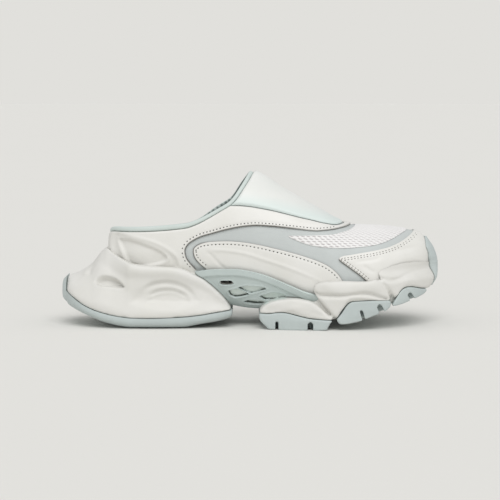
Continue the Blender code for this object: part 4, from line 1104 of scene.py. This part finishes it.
# The mesh window, on a finer grid
fine_skin = last_sheet(MESH_STEP, MESH_ROWS, start=0.52, end=0.985, low=0.42)
mesh_line = curve(MESH_EDGE, closed=True, steps=4)
column = np.zeros(len(fine_skin["points"]), int)
column[fine_skin["index"]] = np.arange(fine_skin["index"].shape[1])[None, :, None]
heights = fine_skin["points"][fine_skin["index"][0], 2]
girths = fine_skin["cloth"][fine_skin["index"][0], 1]
level = np.array([np.interp(MESH_LEVEL * SHOE_HEIGHT, *pair) for pair in zip(heights, girths)])
fine_skin["cloth"][:, 1] -= level[column]


def mesh_holes(cloth):
    """1 in the middle of each hole of the mesh, 0 on its cords: rows of slanted dashes, staggered by half."""
    row = np.floor(cloth[:, 1] / MESH_PITCH[1])
    inside = np.zeros(len(cloth))
    for step in (-1, 0, 1):
        across = cloth[:, 1] - (row + step + 0.5) * MESH_PITCH[1]
        along = cloth[:, 0] + 0.5 * MESH_PITCH[0] * ((row + step) % 2)
        along = (along / MESH_PITCH[0] % 1.0 - 0.5) * MESH_PITCH[0]
        off = across - DASH_SLOPE * along
        inside = np.maximum(inside, 1 - (along / DASH[0]) ** 2 - (off / DASH[1]) ** 2)
    return np.sqrt(np.clip(inside, 0, 1))


def mesh_relief(places, depth):
    """The mesh's holes sunk below its cords."""
    return -MESH_SINK * mesh_holes(mesh_cut["cloth"]) * step_between(0, 0.001, depth)


mesh_cut = cut_sheet(fine_skin, gauge_of(mesh_line))
mesh = add_layer("toe_mesh", fine_skin, gauge_of(mesh_line), 0.0006, MESH, 0.0004, mesh_relief,
                 radius=0.0008, base=0.0002, lip=0.35, spots=mesh_holes)


# The collar's binding


def eased(values, rounds):
    """A closed row of values, each moved towards the mean of its neighbours, a few times over."""
    for _ in range(rounds):
        values = 0.5 * values + 0.25 * (np.roll(values, 1, axis=0) + np.roll(values, -1, axis=0))
    return values


def collar_line(step):
    """The closed line of the collar's edge on the last in even steps, with the last's outward direction."""
    along = throat_place() * (1 - np.cos(np.linspace(0, np.pi, 1200))) / 2
    lines, faces = [], []
    for side, sign in SIDES.items():
        rise = edge_rise(side, along)
        rise[-1] = 1.0
        here = last_points(side, along, rise)
        back, on = np.maximum(along - 2e-4, 0), np.minimum(along + 2e-4, 1)
        ahead = last_points(side, on, rise) - last_points(side, back, rise)
        above = last_points(side, along, np.minimum(rise + 2e-3, 1)) - last_points(side, along, rise - 2e-3)
        face = np.cross(ahead, above) * -sign
        lines.append(here[:: int(-sign)])
        faces.append((face / np.maximum(np.linalg.norm(face, axis=1), 1e-12)[:, None])[:: int(-sign)])
    line = np.concatenate([lines[0][:-1], lines[1][:-1]])
    face = np.concatenate([faces[0][:-1], faces[1][:-1]])
    line, face = np.concatenate([line, line[:1]]), np.concatenate([face, face[:1]])
    run = run_of(line)
    marks = np.linspace(0, run[-1], int(run[-1] / step) + 1)[:-1]
    place, out = (np.stack([np.interp(marks, run, part) for part in values.T], axis=-1)
                  for values in (line, face))
    return place + SETTLE, out / np.linalg.norm(out, axis=1)[:, None]


def binding():
    """The soft roll round the collar and throat: a flat-sided ring carried along the upper's edge."""
    edge, facing = collar_line(0.0013)
    edge, out = eased(edge, 6), eased(facing, 10)
    run = np.roll(edge, -1, axis=0) - np.roll(edge, 1, axis=0)
    run /= np.linalg.norm(run, axis=1)[:, None]
    up = np.cross(out, run)
    up *= np.where(up[:, 2:] < 0, -1, 1)
    up = eased(up, 10)
    up /= np.linalg.norm(up, axis=1)[:, None]
    out = np.cross(run, up)
    out *= np.sign((out * facing).sum(axis=1))[:, None]
    share = edge[:, 0] / SHOE_LENGTH
    high, thick = read(ROLL, "height", share), read(ROLL, "thick", share)
    middle = edge + up * (high / 2 + CLEARANCE)[:, None] + out * (OVERLAY_THICKNESS - UPPER_WALL) / 2
    turn = 2 * np.pi * np.arange(28) / 28
    rise = np.sign(np.cos(turn)) * abs(np.cos(turn)) ** 0.75 / 2 * high[:, None]
    side = np.sign(np.sin(turn)) * abs(np.sin(turn)) ** 0.8 / 2 * thick[:, None]
    rings = middle[:, None] + up[:, None] * rise[:, :, None] + out[:, None] * side[:, :, None]
    index = np.arange(rings.shape[0] * rings.shape[1]).reshape(rings.shape[:2])
    index = np.concatenate([index, index[:, :1]], axis=1)
    index = np.concatenate([index, index[:1]], axis=0)
    thing = add_piece("collar_roll", rings.reshape(-1, 3), [strip_faces(index)], [BINDING], 0)
    length = run_of(edge)
    girth = np.broadcast_to(np.arange(28) * 0.0005, rings.shape[:2])
    # Painted shade: the roll's inward-facing side takes the darker spots colour, faintly all round and
    # strongly at the throat, where light ribs of the lining's own pattern break it.
    inward = step_between(0.1, 0.5, -np.sin(turn))[None, :]
    at_throat = step_between(-0.16, -0.10, share)
    ribbed = at_throat * (1 - step_between(-0.045, -0.035, share))
    bars = 0.5 + 0.5 * np.clip(3 * np.cos(2 * np.pi * length / RIB_PITCH), -1, 1)
    mark(thing, "spots", (inward * (0.25 + 0.75 * at_throat * (1 - ribbed * bars))[:, None]).reshape(-1))
    add_cloth(thing, np.stack([np.broadcast_to(length[:, None], girth.shape), girth], axis=-1).reshape(-1, 2))
    return turned_out(thing)


collar = binding()


def footbed():
    """The insole: a board that fills the bottom of the upper, its top dished and its rim rounded."""
    feather = skin["index"][:, 2:-2, 0]
    edge = skin["points"][feather] - skin["normals"][feather] * (UPPER_WALL + 3 * CLEARANCE)
    across = np.sin(np.linspace(-1, 1, 41) * np.pi / 2)
    share = (across + 1) / 2
    flat = edge[0][:, None] * (1 - share)[None, :, None] + edge[1][:, None] * share[None, :, None]
    rim = np.clip((abs(across) - 0.93) / 0.07, 0, 1)
    dish = INSOLE_THICKNESS - 0.0014 * (1 - across**2) - 0.0012 * rim**2
    top = flat + np.stack([0 * dish, 0 * dish, dish], axis=-1)[None]
    rings = np.concatenate([flat[:, ::-1], top], axis=1)
    thing = loft("footbed", rings - SETTLE)
    thing.data.materials.append(LINING)
    points, _ = places_of(thing)
    add_cloth(thing, points[:, :2])
    thing.data.shade_smooth()
    return thing


insole = footbed()


# The midsole


def sole_half(x):
    """Half width of the forefoot sole at x, in metres, closing round the toe."""
    share = x / SHOE_LENGTH
    return read(SOLE_PLAN, "half", share) * rounded_end(SOLE_END - share, SOLE_ROUND, SOLE_POWER) * SOLE_WIDTH


def pod(name, shares, inward, back, bulge, lean=(0.5, 0.6, 0.0)):
    """A bar across the sole: its outline drawn in by a share while its face moves out by a quarter round,
    a gently crowned face, and a face that leans in between two heights."""
    edge = curve(shares, closed=True, steps=5)
    middle = edge.mean(axis=0)
    turn = np.linspace(0, np.pi / 2, 9)
    steps = [(inward * (1 - np.cos(t)), back * (1 - np.sin(t))) for t in turn]
    steps += [(inward + (1 - inward) * s, -bulge * step_between(0, 1, s)) for s in (0.2, 0.4, 0.6, 0.8, 0.95)]
    rings = []
    for sign in (-1, 1):
        for share, set_back in steps[::sign]:
            ring = middle + (edge - middle) * (1 - share)
            centre = read(SOLE_PLAN, "centre", ring[:, 0] / SHOE_LENGTH) * SOLE_WIDTH
            leaning = lean[2] * step_between(lean[0], lean[1], ring[:, 1] / SHOE_HEIGHT)
            y = centre + sign * np.maximum(sole_half(ring[:, 0]) - set_back - leaning, 0.002)
            rings.append(np.stack([ring[:, 0], y, ring[:, 1]], axis=-1))
    return loft(name, np.array(rings))


def twin_loft(name, x, y, z):
    """A solid through sections alike on both sides: half widths y, with x and z as shares."""
    lateral = np.stack(np.broadcast_arrays(x[:, None] * SHOE_LENGTH, -y, z * SHOE_HEIGHT), axis=-1)
    medial = lateral[:, ::-1] * (1, -1, 1)
    return loft(name, np.concatenate([lateral, medial], axis=1))


def heel_body():
    """The heel pod through dense sections: arched on its tail, walled round the upper."""
    x = np.concatenate([np.linspace(-0.487, -0.46, 12)[:-1], np.linspace(-0.46, -0.052, 130)])
    rise = np.linspace(0, 1, 45)
    line, top, half, wall = (part[:, None] for part in columns(HEEL_POD, x))
    tail_out, tail_up, wall_out, wall_up = columns(HEEL_SIDE, rise)
    out = tail_out * (1 - wall) + wall_out * wall
    up = tail_up * (1 - wall) + wall_up * wall
    return twin_loft("heel_body", x, half * out * HEEL_WIDTH, line + (top - line) * up)


def upper_form(sheet, distance, drop):
    """The solid inside an offset of the last, with a floor across its feather line."""
    points = sheet["points"] + sheet["normals"] * distance
    index = sheet["index"]
    points[np.unique(index[:, :, 0])] -= (0, 0, drop)
    lists = [list(dict.fromkeys(map(int, face))) for face in strip_faces(index[:, :, 0])]
    return turned_out(add_piece("form", points, [sheet["quads"], [face for face in lists if len(face) > 2]]))


def tree_of(*things):
    """A search tree over the surfaces of some objects."""
    points, faces = [], []
    for thing in things:
        start = len(points)
        points += [vertex.co.copy() for vertex in thing.data.vertices]
        faces += [[start + corner for corner in polygon.vertices] for polygon in thing.data.polygons]
    return BVHTree.FromPolygons(points, faces)


def reach(tree, x, z, sign):
    """How far out from the centre plane a solid stands at x and z, on one side."""
    hit = tree.ray_cast(Vector((x, sign * SOLE_WIDTH, z)), Vector((0, -sign, 0)))[0]
    return abs(hit.y - SETTLE[1]) if hit else 0.0


def arch_halves(tree, x, sign):
    """Half width of the arch's top edge at each x: round the upper, or its own where no plate lies on it."""
    share = x / SHOE_LENGTH
    top = read(ARCH, "top", share) * SHOE_HEIGHT
    hug = np.array([reach(tree, a + SETTLE[0], b, sign) for a, b in zip(x, top)]) + CLEARANCE
    free = read(ARCH, "half", share) * SOLE_WIDTH
    on_plate = (PLATE_ENDS[0] <= share) & (share <= PLATE_ENDS[1])
    half = np.where(on_plate, np.maximum(hug, 0.9 * free), free)
    padded = np.pad(half, 4, mode="edge")
    return np.convolve(padded, np.ones(9) / 9, mode="valid")


def arch_grid(tree, x, ups):
    """The arch's trough as a grid: down one side by ARCH_SIDE, across the bottom, and up the other."""
    low, top = (read(ARCH, column, x / SHOE_LENGTH) * SHOE_HEIGHT for column in ("low", "top"))
    z = low[:, None] + (top - low)[:, None] * ups[None, :]
    out = read(ARCH_SIDE, "out", ups)
    near = -arch_halves(tree, x, -1)[:, None] * out
    far = arch_halves(tree, x, 1)[:, None] * out
    share = np.linspace(0, 1, 42)[None, 1:-1]
    floor = near[:, :1] * (1 - share) + far[:, :1] * share
    y = np.concatenate([near[:, ::-1], floor, far], axis=1)
    z = np.concatenate([z[:, ::-1], np.broadcast_to(low[:, None], floor.shape), z], axis=1)
    return np.stack([np.broadcast_to(x[:, None], y.shape), y, z], axis=-1)


form = upper_form(last_sheet(0.0025, 44), OVERLAY_THICKNESS + 2 * CLEARANCE, CLEARANCE)
form_tree = tree_of(form)
core_grid = arch_grid(form_tree, np.linspace(-0.200, 0.430, 120) * SHOE_LENGTH, np.linspace(0, 0.93, 14))
core_grid[..., 1] *= CORE_SHARE
core = loft("arch_core", core_grid)
pods = [
    pod("rear_pod", REAR_POD, 0.18, 0.0024, 0.0020),
    pod("middle_pod", MIDDLE_POD, 0.16, 0.0022, 0.0020),
    pod("toe_pod", TOE_POD, 0.20, 0.0030, 0.0010),
    pod("rear_web", REAR_WEB, 0.02, 0.0010, 0.0, (-1.0, -0.9, WEB_DEPTH)),
    pod("toe_web", TOE_WEB, 0.02, 0.0010, 0.0, (-1.0, -0.9, WEB_DEPTH)),
]
midsole = heel_body()
combine(midsole, "UNION", core, *pods)
combine(midsole, "DIFFERENCE", form)
for sign in SIDES.values():
    deep = reach(form_tree, SLOT[0][0] * SHOE_LENGTH, SLOT[0][1] * SHOE_HEIGHT, sign) - SLOT_DEPTH
    low, high = sorted((sign * deep, sign * SOLE_WIDTH))
    combine(midsole, "DIFFERENCE", prism("slot", outline(SLOT), low, high))
midsole.name = "midsole_foam"
moulded(midsole, FOAM_CELL, 5, FOAM)

eye = traced([
    (128, 303), (130, 295), (137, 289), (146, 285.5), (156, 283.5), (165, 283), (174, 284), (183, 288.5),
    (192, 294.5), (201, 301), (196, 304), (186, 308.5), (168, 311.5), (150, 309.5), (137, 307)],
    0.043, closed=True)
almond = traced([
    (146, 300.5), (152.5, 295.3), (166, 292), (179, 294), (191, 302), (180, 304), (165, 303.5), (154, 302.5)],
    0.041, closed=True)
crescent = traced([
    (93, 283), (96, 278), (102, 275.5), (110, 276), (118, 279.5), (124, 285), (125, 288), (118, 288.5),
    (110, 287), (100, 286.5)], 0.036, closed=True)
leaf_out = traced([
    (141, 292), (146, 288.5), (152, 285.5), (160, 283.8), (168, 283.6), (177, 285.3), (185, 289), (191, 294),
    (196, 301)], 0.042)
leaf_in = traced([
    (147, 298), (152.5, 294), (159, 291.5), (166, 290.6), (173, 291), (179, 292.8), (185, 296.3),
    (190.5, 301)], 0.041)
back_groove = traced([(94, 260), (91.5, 264), (90, 267.5), (88.6, 271.5), (87.6, 276)], 0.028)
back_bump = traced([(85, 266), (83.5, 271), (83, 277)], 0.028)
band_crease = curve([
    (-0.398, 0.43), (-0.39, 0.406), (-0.368, 0.376), (-0.34, 0.343), (-0.319, 0.327), (-0.261, 0.322),
    (-0.222, 0.322), (-0.189, 0.312), (-0.157, 0.284), (-0.131, 0.256), (-0.092, 0.205)])
band_rise = curve([
    (-0.330, 0.375), (-0.290, 0.368), (-0.250, 0.366), (-0.215, 0.362), (-0.180, 0.345), (-0.150, 0.315),
    (-0.120, 0.270)])
middle_crease = traced([
    (312, 293), (318, 295.3), (326, 296), (340, 296.3), (350, 295.3), (362, 294), (372, 295.3), (382, 298.8),
    (391, 302)], 0.055)
middle_lobe = traced([(318, 287), (335, 288), (355, 287), (372, 287), (386, 292)], 0.055)
toe_crease = curve([
    (0.326, 0.334), (0.350, 0.319), (0.366, 0.314), (0.388, 0.320), (0.416, 0.345), (0.445, 0.360),
    (0.475, 0.364), (0.490, 0.360)])
rear_crease = curve([
    (0.030, 0.118), (0.055, 0.124), (0.090, 0.128), (0.130, 0.118), (0.165, 0.100), (0.195, 0.085)])
window_backs = [cornered(outline(window)) for window in WINDOWS]

# Lines in the foam with their width, depth (below zero for a ridge) and fade
FOAM_CREASES = [
    (leaf_out, 0.0021, 0.0021, 0.20), (leaf_in, 0.0016, 0.0016, 0.20), (back_groove, 0.0015, 0.0022, 0.12),
    (back_bump, 0.0018, -0.0012, 0.12), (band_crease, 0.0034, 0.0005, 0.08),
    (band_rise, 0.0036, -0.0005, 0.15), (middle_crease, 0.0016, 0.0024, 0.05),
    (middle_lobe, 0.0040, -0.0010, 0.20), (toe_crease, 0.0016, 0.0022, 0.05),
    (rear_crease, 0.0030, 0.0009, 0.10),
]
# Dished places in the foam with the distances at which the slope starts and ends, and the depth
FOAM_HOLLOWS = [
    (eye, -0.0012, 0.0080, 0.0016), (almond, -0.0002, 0.0026, 0.0012), (crescent, 0.0, 0.0027, 0.0056),
]


def foam_relief(places):
    """The heel's eye, leaf and tail grooves, the band's crease, and the pods' creases and lobes."""
    places = places - SETTLE
    dished = sum(deep * step_between(start, end, gauge(line, places, closed=True))
                 for line, start, end, deep in FOAM_HOLLOWS)
    return sum(trough(places, *crease) for crease in FOAM_CREASES) - dished


def laid_on(thing, tree):
    """The toe pod's upper part drawn on to the upper's surface, more the higher it is, to end flush."""
    points, _ = places_of(thing)
    share = (points - SETTLE) / (SHOE_LENGTH, 1, SHOE_HEIGHT)
    pull = step_between(*TOE_DRAWN[1], share[:, 2]) * step_between(*TOE_DRAWN[0], share[:, 0])
    near = np.flatnonzero(pull > 0)
    found = [tree.find_nearest(Vector(point)) for point in points[near]]
    place, normal = (np.array([tuple(hit[k]) for hit in found]) for k in (0, 1))
    away = ((points[near] - place) * normal).sum(axis=1)
    goal = place + normal * np.minimum(away, FLUSH)[:, None]
    points[near] += (goal - points[near]) * pull[near][:, None]
    return put_places(thing, points)


def softened(thing, low, high, rounds):
    """Eases the points between two corners, given in shares of the shoe's length and height."""
    body = bmesh.new()
    body.from_mesh(thing.data)
    sizes = (SHOE_LENGTH, SHOE_HEIGHT)
    near = [point for point in body.verts
            if all(a * size < b < c * size for a, b, c, size in zip(low, point.co.xz, high, sizes))]
    for _ in range(rounds):
        bmesh.ops.smooth_vert(body, verts=near, factor=0.5, use_axis_x=True, use_axis_y=True, use_axis_z=True)
    body.to_mesh(thing.data)
    body.free()


carved(midsole, foam_relief)
laid_on(midsole, form_tree)
softened(midsole, *TOE_CORNER, 6)
foam_places = places_of(midsole)[0] - SETTLE
behind_windows = np.max([gauge(window, foam_places, closed=True) for window in window_backs], axis=0)
on_core = abs(foam_places[:, 1]) < sole_half(foam_places[:, 0]) - CORE_DEPTH
mark(midsole, "spots", step_between(-0.002, 0.0, behind_windows) * on_core)


# The arch's plate


def plate():
    """The trough's skin inside its outline and outside its windows, thicker along its upper flange, and strips
    of painted shadow at the windows' lower edges.
    """
    x = np.linspace(-0.150, 0.183, 190) * SHOE_LENGTH
    grid = arch_grid(form_tree, x, np.linspace(0, 1, 64)) + SETTLE
    index = np.arange(grid.shape[0] * grid.shape[1]).reshape(grid.shape[:2])
    points = grid.reshape(-1, 3)
    quads = strip_faces(index)
    normals = vertex_normals(points, quads)
    if normals[index[len(x) // 2, 0], 1] > 0:
        quads, normals = quads[:, ::-1], -normals
    sheet = sheet_of(points, quads, normals, points[:, [0, 2]])
    outer = gauge_of(cornered(outline(PLATE_OUTLINE), 0.2))
    holes = [gauge_of(cornered(outline(hole), 0.08)) for hole in WINDOWS + [SLOT]]

    def inside(places):
        """Inside the outline and outside every hole."""
        return np.min([outer(places)] + [-hole(places) for hole in holes], axis=0)

    def relief(places, depth):
        """A flange along the top edge, and ribs between the windows."""
        under = read(ARCH, "top", places[:, 0] / SHOE_LENGTH) * SHOE_HEIGHT - places[:, 2]
        flange = 0.0012 * (1 - step_between(0.0044, 0.0062, under)) * step_between(0, 0.0008, depth)
        return flange - 0.0004 * step_between(0.0005, 0.0020, depth) * step_between(0.0050, 0.0070, under)

    def in_gap_shadow(places):
        """In a window, close to its lower edge, where a strip of painted shadow lies."""
        off = places - SETTLE
        return np.max([np.minimum(hole(places), GAP_SHADOW_WIDTH - abs(gauge(low, off)[0]))
                       for hole, low in zip(holes, gap_shadow_lines)], axis=0)

    # Thin dark strips in the windows along their lower edges: painted shadow.
    gaps = add_layer("arch_gap_shadows", sheet, in_gap_shadow, 0.0004, GAP_SHADOW, 0.0004, radius=0.0004, lip=0.35)
    shell = add_layer("arch_shell", sheet, inside, PLATE_THICKNESS, PLATE, PLATE_THICKNESS, relief,
                      radius=0.0006, lip=0.35)
    return shell, gaps


# The windows' lower edges, along which the painted shadow strips lie.
gap_shadow_lines = [curve(low) for low in (
    [(-0.058, 0.240), (-0.053, 0.213), (-0.040, 0.198), (-0.020, 0.205), (-0.002, 0.219)],
    [(-0.033, 0.261), (0.000, 0.224), (0.042, 0.254)],
    [(0.024, 0.208), (0.036, 0.186), (0.060, 0.186), (0.092, 0.203)],
    [(-0.021, 0.168), (0.010, 0.156), (0.046, 0.157)],
)]
arch, window_gap_shadows = plate()


# The rubber


def heel_tread():
    """The heel outsole through dense sections: from its lip (s 0) to its tread (s 1) the wall drops as
    1 - (1 - s)^1.6, while its width falls to the foot's share as s^3.2."""
    x = np.concatenate([np.linspace(-0.4999, -0.4883, 16), np.linspace(-0.4880, -0.44, 22)[:-1],
                        np.linspace(-0.44, -0.0481, 110)])
    side = np.linspace(0, 1, 22)
    top, floor, half, foot = (part[:, None] for part in columns(HEEL_RUBBER, x))
    top = top + SEAM_CLOSE
    drop = 1 - (1 - side) ** 1.6
    out = 1 - 0.012 * (1 - side) ** 6 - (1 - foot) * side**3.2
    thing = twin_loft("heel_tread", x, half * out * HEEL_WIDTH, top + (floor - top) * drop)
    thing.data.materials.append(RUBBER)
    thing.data.shade_smooth()
    thing.data.set_sharp_from_angle(angle=0.9)
    return thing


def notched_pad(name, shares, notches, back, bulge):
    """A pad of rubber with its notches cut, recast so that its edges are rounded."""
    pad = pod(name, shares, 0.10, back, bulge)
    for top, foot, width in notches:
        (x1, z1), (x0, z0) = outline([top, foot])
        wide = width / 2
        edges = [(x0 - wide, z0), (x0 + wide, z0), (x1 + wide, z1), (x1, z1 + wide), (x1 - wide, z1)]
        for sign in SIDES.values():
            inner = sign * (sole_half(np.array(x1)) - NOTCH_DEPTH)
            low, high = sorted((inner, sign * SOLE_WIDTH))
            combine(pad, "DIFFERENCE", prism("notch", edges, low, high))
    return moulded(pad, RUBBER_CELL, 3, RUBBER)


heel = heel_tread()
rear_pad = notched_pad("rear_pad", REAR_PAD, REAR_NOTCHES, 0.0013, 0.0006)
middle_pad = notched_pad("middle_pad", MIDDLE_PAD, MIDDLE_NOTCHES, 0.0013, 0.0006)
toe_pad = notched_pad("toe_pad", TOE_PAD, TOE_NOTCHES, 0.0016, 0.0004)


def toe_strip():
    """The guard up the toe: a strip laid over what is behind it. Its height over that falls from the middle
    to the sides as the square root of 1 - |s|^n, down to a share of the full height."""
    tree = tree_of(midsole, toe_overlay)
    rows = np.linspace(GUARD["z"][0], GUARD["z"][-1], 64)
    spread = np.sin(np.linspace(-1, 1, 41) * np.pi / 2)
    centre = read(SOLE_PLAN, "centre", SOLE_END) * SOLE_WIDTH
    y = centre + SETTLE[1] + spread[None, :] * read(GUARD, "half", rows)[:, None] * SOLE_WIDTH
    z = np.broadcast_to(rows[:, None] * SHOE_HEIGHT, y.shape)
    starts = zip(y.ravel(), z.ravel())
    hits = [tree.ray_cast(Vector((SHOE_LENGTH, a, b)), Vector((-1, 0, 0)))[0] for a, b in starts]
    behind = np.array([hit.x if hit else np.nan for hit in hits]).reshape(y.shape)
    behind = np.where(np.isnan(behind), np.nanmin(behind), behind)
    front = read(GUARD, "front", rows) * SHOE_LENGTH
    middle = behind[:, len(spread) // 2]
    gap = np.maximum(front - middle, 0.0010)
    reach_out = eased_grid(behind, 5) + gap[:, None]
    fall = np.sqrt(np.clip(1 - abs(spread) ** GUARD_SQUARE, 0, 1))[None, :]
    outer = behind + (reach_out - behind) * (GUARD_SIDE + (1 - GUARD_SIDE) * fall)
    outer = np.maximum(outer, behind + GUARD_LEAST)
    front_face = np.stack([eased_grid(outer, 2), y, z], axis=-1)
    back_face = np.stack([behind + CLEARANCE, y, z], axis=-1)
    thing = add_piece("toe_strip", *slab(front_face, back_face), [RUBBER], 0)
    return turned_out(thing)


def slab(front, back):
    """The closed skin between two grids of points: both faces and the rim between them."""
    index = np.arange(front[..., 0].size).reshape(front.shape[:2])
    other = index + index.size
    rim = np.concatenate([index[0, :-1], index[:-1, -1], index[-1, :0:-1], index[:0:-1, 0]])
    turn = np.stack([rim, np.roll(rim, -1), np.roll(rim, -1) + index.size, rim + index.size], axis=1)
    points = np.concatenate([front.reshape(-1, 3), back.reshape(-1, 3)])
    return points, [strip_faces(index), strip_faces(other)[:, ::-1], turn[:, ::-1]]


def eased_grid(values, rounds):
    """A grid of values, each moved towards the mean of its neighbours, a few times over."""
    for _ in range(rounds):
        p = np.pad(values, 1, mode="edge")
        values = 0.5 * values + 0.125 * (p[:-2, 1:-1] + p[2:, 1:-1] + p[1:-1, :-2] + p[1:-1, 2:])
    return values


guard = toe_strip()


# Stitches


def stitch_row(line, inset, pitch, start=0.0, end=1.0):
    """Places along a line moved sideways by an inset, a pitch apart, with their directions."""
    run = run_of(line)
    marks = np.arange(start * run[-1] + pitch / 2, end * run[-1], pitch)
    spots = np.stack([np.interp(marks, run, line[:, k]) for k in (0, 1)], axis=-1)
    ahead = np.stack([np.interp(marks + pitch / 2, run, line[:, k]) for k in (0, 1)], axis=-1) - spots
    ahead /= np.maximum(np.linalg.norm(ahead, axis=1), 1e-9)[:, None]
    moved = spots + inset * ahead[:, ::-1] * (-1, 1)
    clear = abs(gauge(line, np.insert(moved, 1, 0, axis=1))[0]) > 0.93 * abs(inset)
    return moved[clear]


def stitches(name, rows, carriers, size, finish):
    """Short threads, half sunk: a small bead at each place of each row, laid on the carriers' surface."""
    long, wide, high = size
    around, ahead = np.meshgrid(np.arange(6) * np.pi / 3, np.linspace(0, np.pi, 6), indexing="ij")
    bead = np.stack([np.cos(ahead) * long, np.sin(ahead) * np.cos(around) * wide,
                     np.sin(ahead) * np.sin(around) * high], axis=-1)
    index = np.arange(36).reshape(6, 6)
    faces = strip_faces(np.concatenate([index, index[:1]], axis=0))
    tree = tree_of(*carriers)
    points, quads = [], []
    for row in rows:
        for sign in SIDES.values():
            starts = [Vector((x + SETTLE[0], sign * SOLE_WIDTH, z)) for x, z in row]
            hits = [tree.ray_cast(start, Vector((0, -sign, 0))) for start in starts]
            good = [(hit[0], hit[1]) for hit in hits if hit[0] and abs(hit[1].y) > 0.3]
            if len(good) < 3:
                continue
            spots, normals = (np.array([tuple(pair[k]) for pair in good]) for k in (0, 1))
            run = np.gradient(spots, axis=0)
            run /= np.linalg.norm(run, axis=1)[:, None]
            across = np.cross(normals, run)
            frames = np.stack([run, across, normals], axis=1)
            placed = spots[:, None, None] + np.einsum("abk,nkc->nabc", bead, frames)
            start = sum(map(len, points))
            points.append(placed.reshape(-1, 3))
            quads.append((faces[None] + 36 * np.arange(len(spots))[:, None, None] + start).reshape(-1, 4))
    thing = add_piece(name, np.concatenate(points), quads, [finish], 0)
    return turned_out(thing)


quarter_row = stitch_row(quarter_edge, STITCH_IN, 0.0028, 0.02, 0.97)
saddle_row = stitch_row(saddle_edge, -STITCH_IN, 0.0032, 0.0, 0.98)
toe_rows = [stitch_row(toe_edge, -inset, 0.0026) for inset in TOE_STITCHES_IN]
quarter_stitches = stitches("quarter_stitches", [quarter_row], [quarter], BOLD_STITCH, THREAD)
saddle_stitches = stitches("saddle_stitches", [saddle_row], saddles.values(), BOLD_STITCH, THREAD)
toe_stitches = stitches("toe_stitches", toe_rows, [toe_overlay], FINE_STITCH, PALE_THREAD)


# What each piece stands for

STANDS_FOR = [
    (upper, "upper", "textile"), (mesh, None, "textile"), (quarter, "quarter_overlay", "leather"),
    (saddles["lateral"], "saddle_lateral", "leather"), (saddles["medial"], "saddle_medial", "leather"),
    (toe_overlay, "toe_overlay", "leather"), (instep, "instep_panel", "smooth_panel"),
    (collar, "collar_binding", "soft_mint"), (insole, "insole", "lining"), (midsole, "midsole", "foam"),
    (arch, "arch_plate", "hard_mint"), (window_gap_shadows, None, "hard_mint"), (heel, "heel_outsole", "rubber"),
    (rear_pad, "outsole_rear_pad", "rubber"), (middle_pad, "outsole_middle_pad", "rubber"),
    (toe_pad, "outsole_toe_pad", "rubber"), (guard, "toe_guard", "rubber"),
    (quarter_stitches, None, "leather"), (saddle_stitches, None, "leather"), (toe_stitches, None, "leather"),
]
for piece, stands_for, finish_slot in STANDS_FOR:
    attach(piece, "root")
    if stands_for:
        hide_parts(stands_for)


# The floor and the lights


def flat_floor():
    """The floor: one wide flat sheet."""
    far = 40.0
    corners = np.array([(-far, -far, 0), (far, -far, 0), (far, far, 0), (-far, far, 0)], float)
    thing = add_piece("floor", corners, [[(0, 1, 2, 3)]], [FLOOR], 0)


def plain_floor():
    """The floor's finish: a pale matte tone with the faintest mottle."""
    finish = bpy.data.materials.new("floor_pale")
    finish.use_nodes = True
    tree = finish.node_tree
    shader = tree.nodes["Principled BSDF"]
    place = node(tree, "TexCoord").outputs["Object"]
    noise = node(tree, "TexNoise", {"Scale": 3.0}, {"Vector": place}).outputs[0]
    tone = blend_of(tree, noise, tint(228, 227, 223), tint(229, 228, 224))
    tree.links.new(tone, shader.inputs["Base Color"])
    shader.inputs["Roughness"].default_value = 0.9
    shader.inputs["Specular IOR Level"].default_value = 0.1
    return finish


FLOOR = plain_floor()
flat_floor()


def studio(ambient, backdrop):
    """A white room all round, which the camera sees as the backdrop's pale tone."""
    world = bpy.data.worlds.new("studio")
    bpy.context.scene.world = world
    world.use_nodes = True
    tree = world.node_tree
    room = tree.nodes["Background"]
    room.inputs[0].default_value = (1.0, 1.0, 0.995, 1)
    room.inputs[1].default_value = ambient
    wall = tree.nodes.new("ShaderNodeBackground")
    wall.inputs[0].default_value = (*backdrop, 1)
    seen_ray = tree.nodes.new("ShaderNodeLightPath")
    mix = tree.nodes.new("ShaderNodeMixShader")
    tree.links.new(seen_ray.outputs["Is Camera Ray"], mix.inputs[0])
    tree.links.new(room.outputs[0], mix.inputs[1])
    tree.links.new(wall.outputs[0], mix.inputs[2])
    tree.links.new(mix.outputs[0], tree.nodes["World Output"].inputs[0])


def soft_sun(name, comes_from, spread, power):
    """A broad, even light from one side, as from a large screen far off."""
    data = bpy.data.lights.new(name, "SUN")
    data.angle = math.radians(spread)
    data.energy = power
    thing = bpy.data.objects.new(name, data)
    bpy.context.scene.collection.objects.link(thing)
    thing.rotation_euler = Vector(comes_from).to_track_quat("Z", "Y").to_euler()


studio(AMBIENT, tint(*BACKDROP))
soft_sun("key", KEY_FROM, KEY_SPREAD, KEY_POWER)
bpy.context.scene.view_settings.view_transform = "Standard"
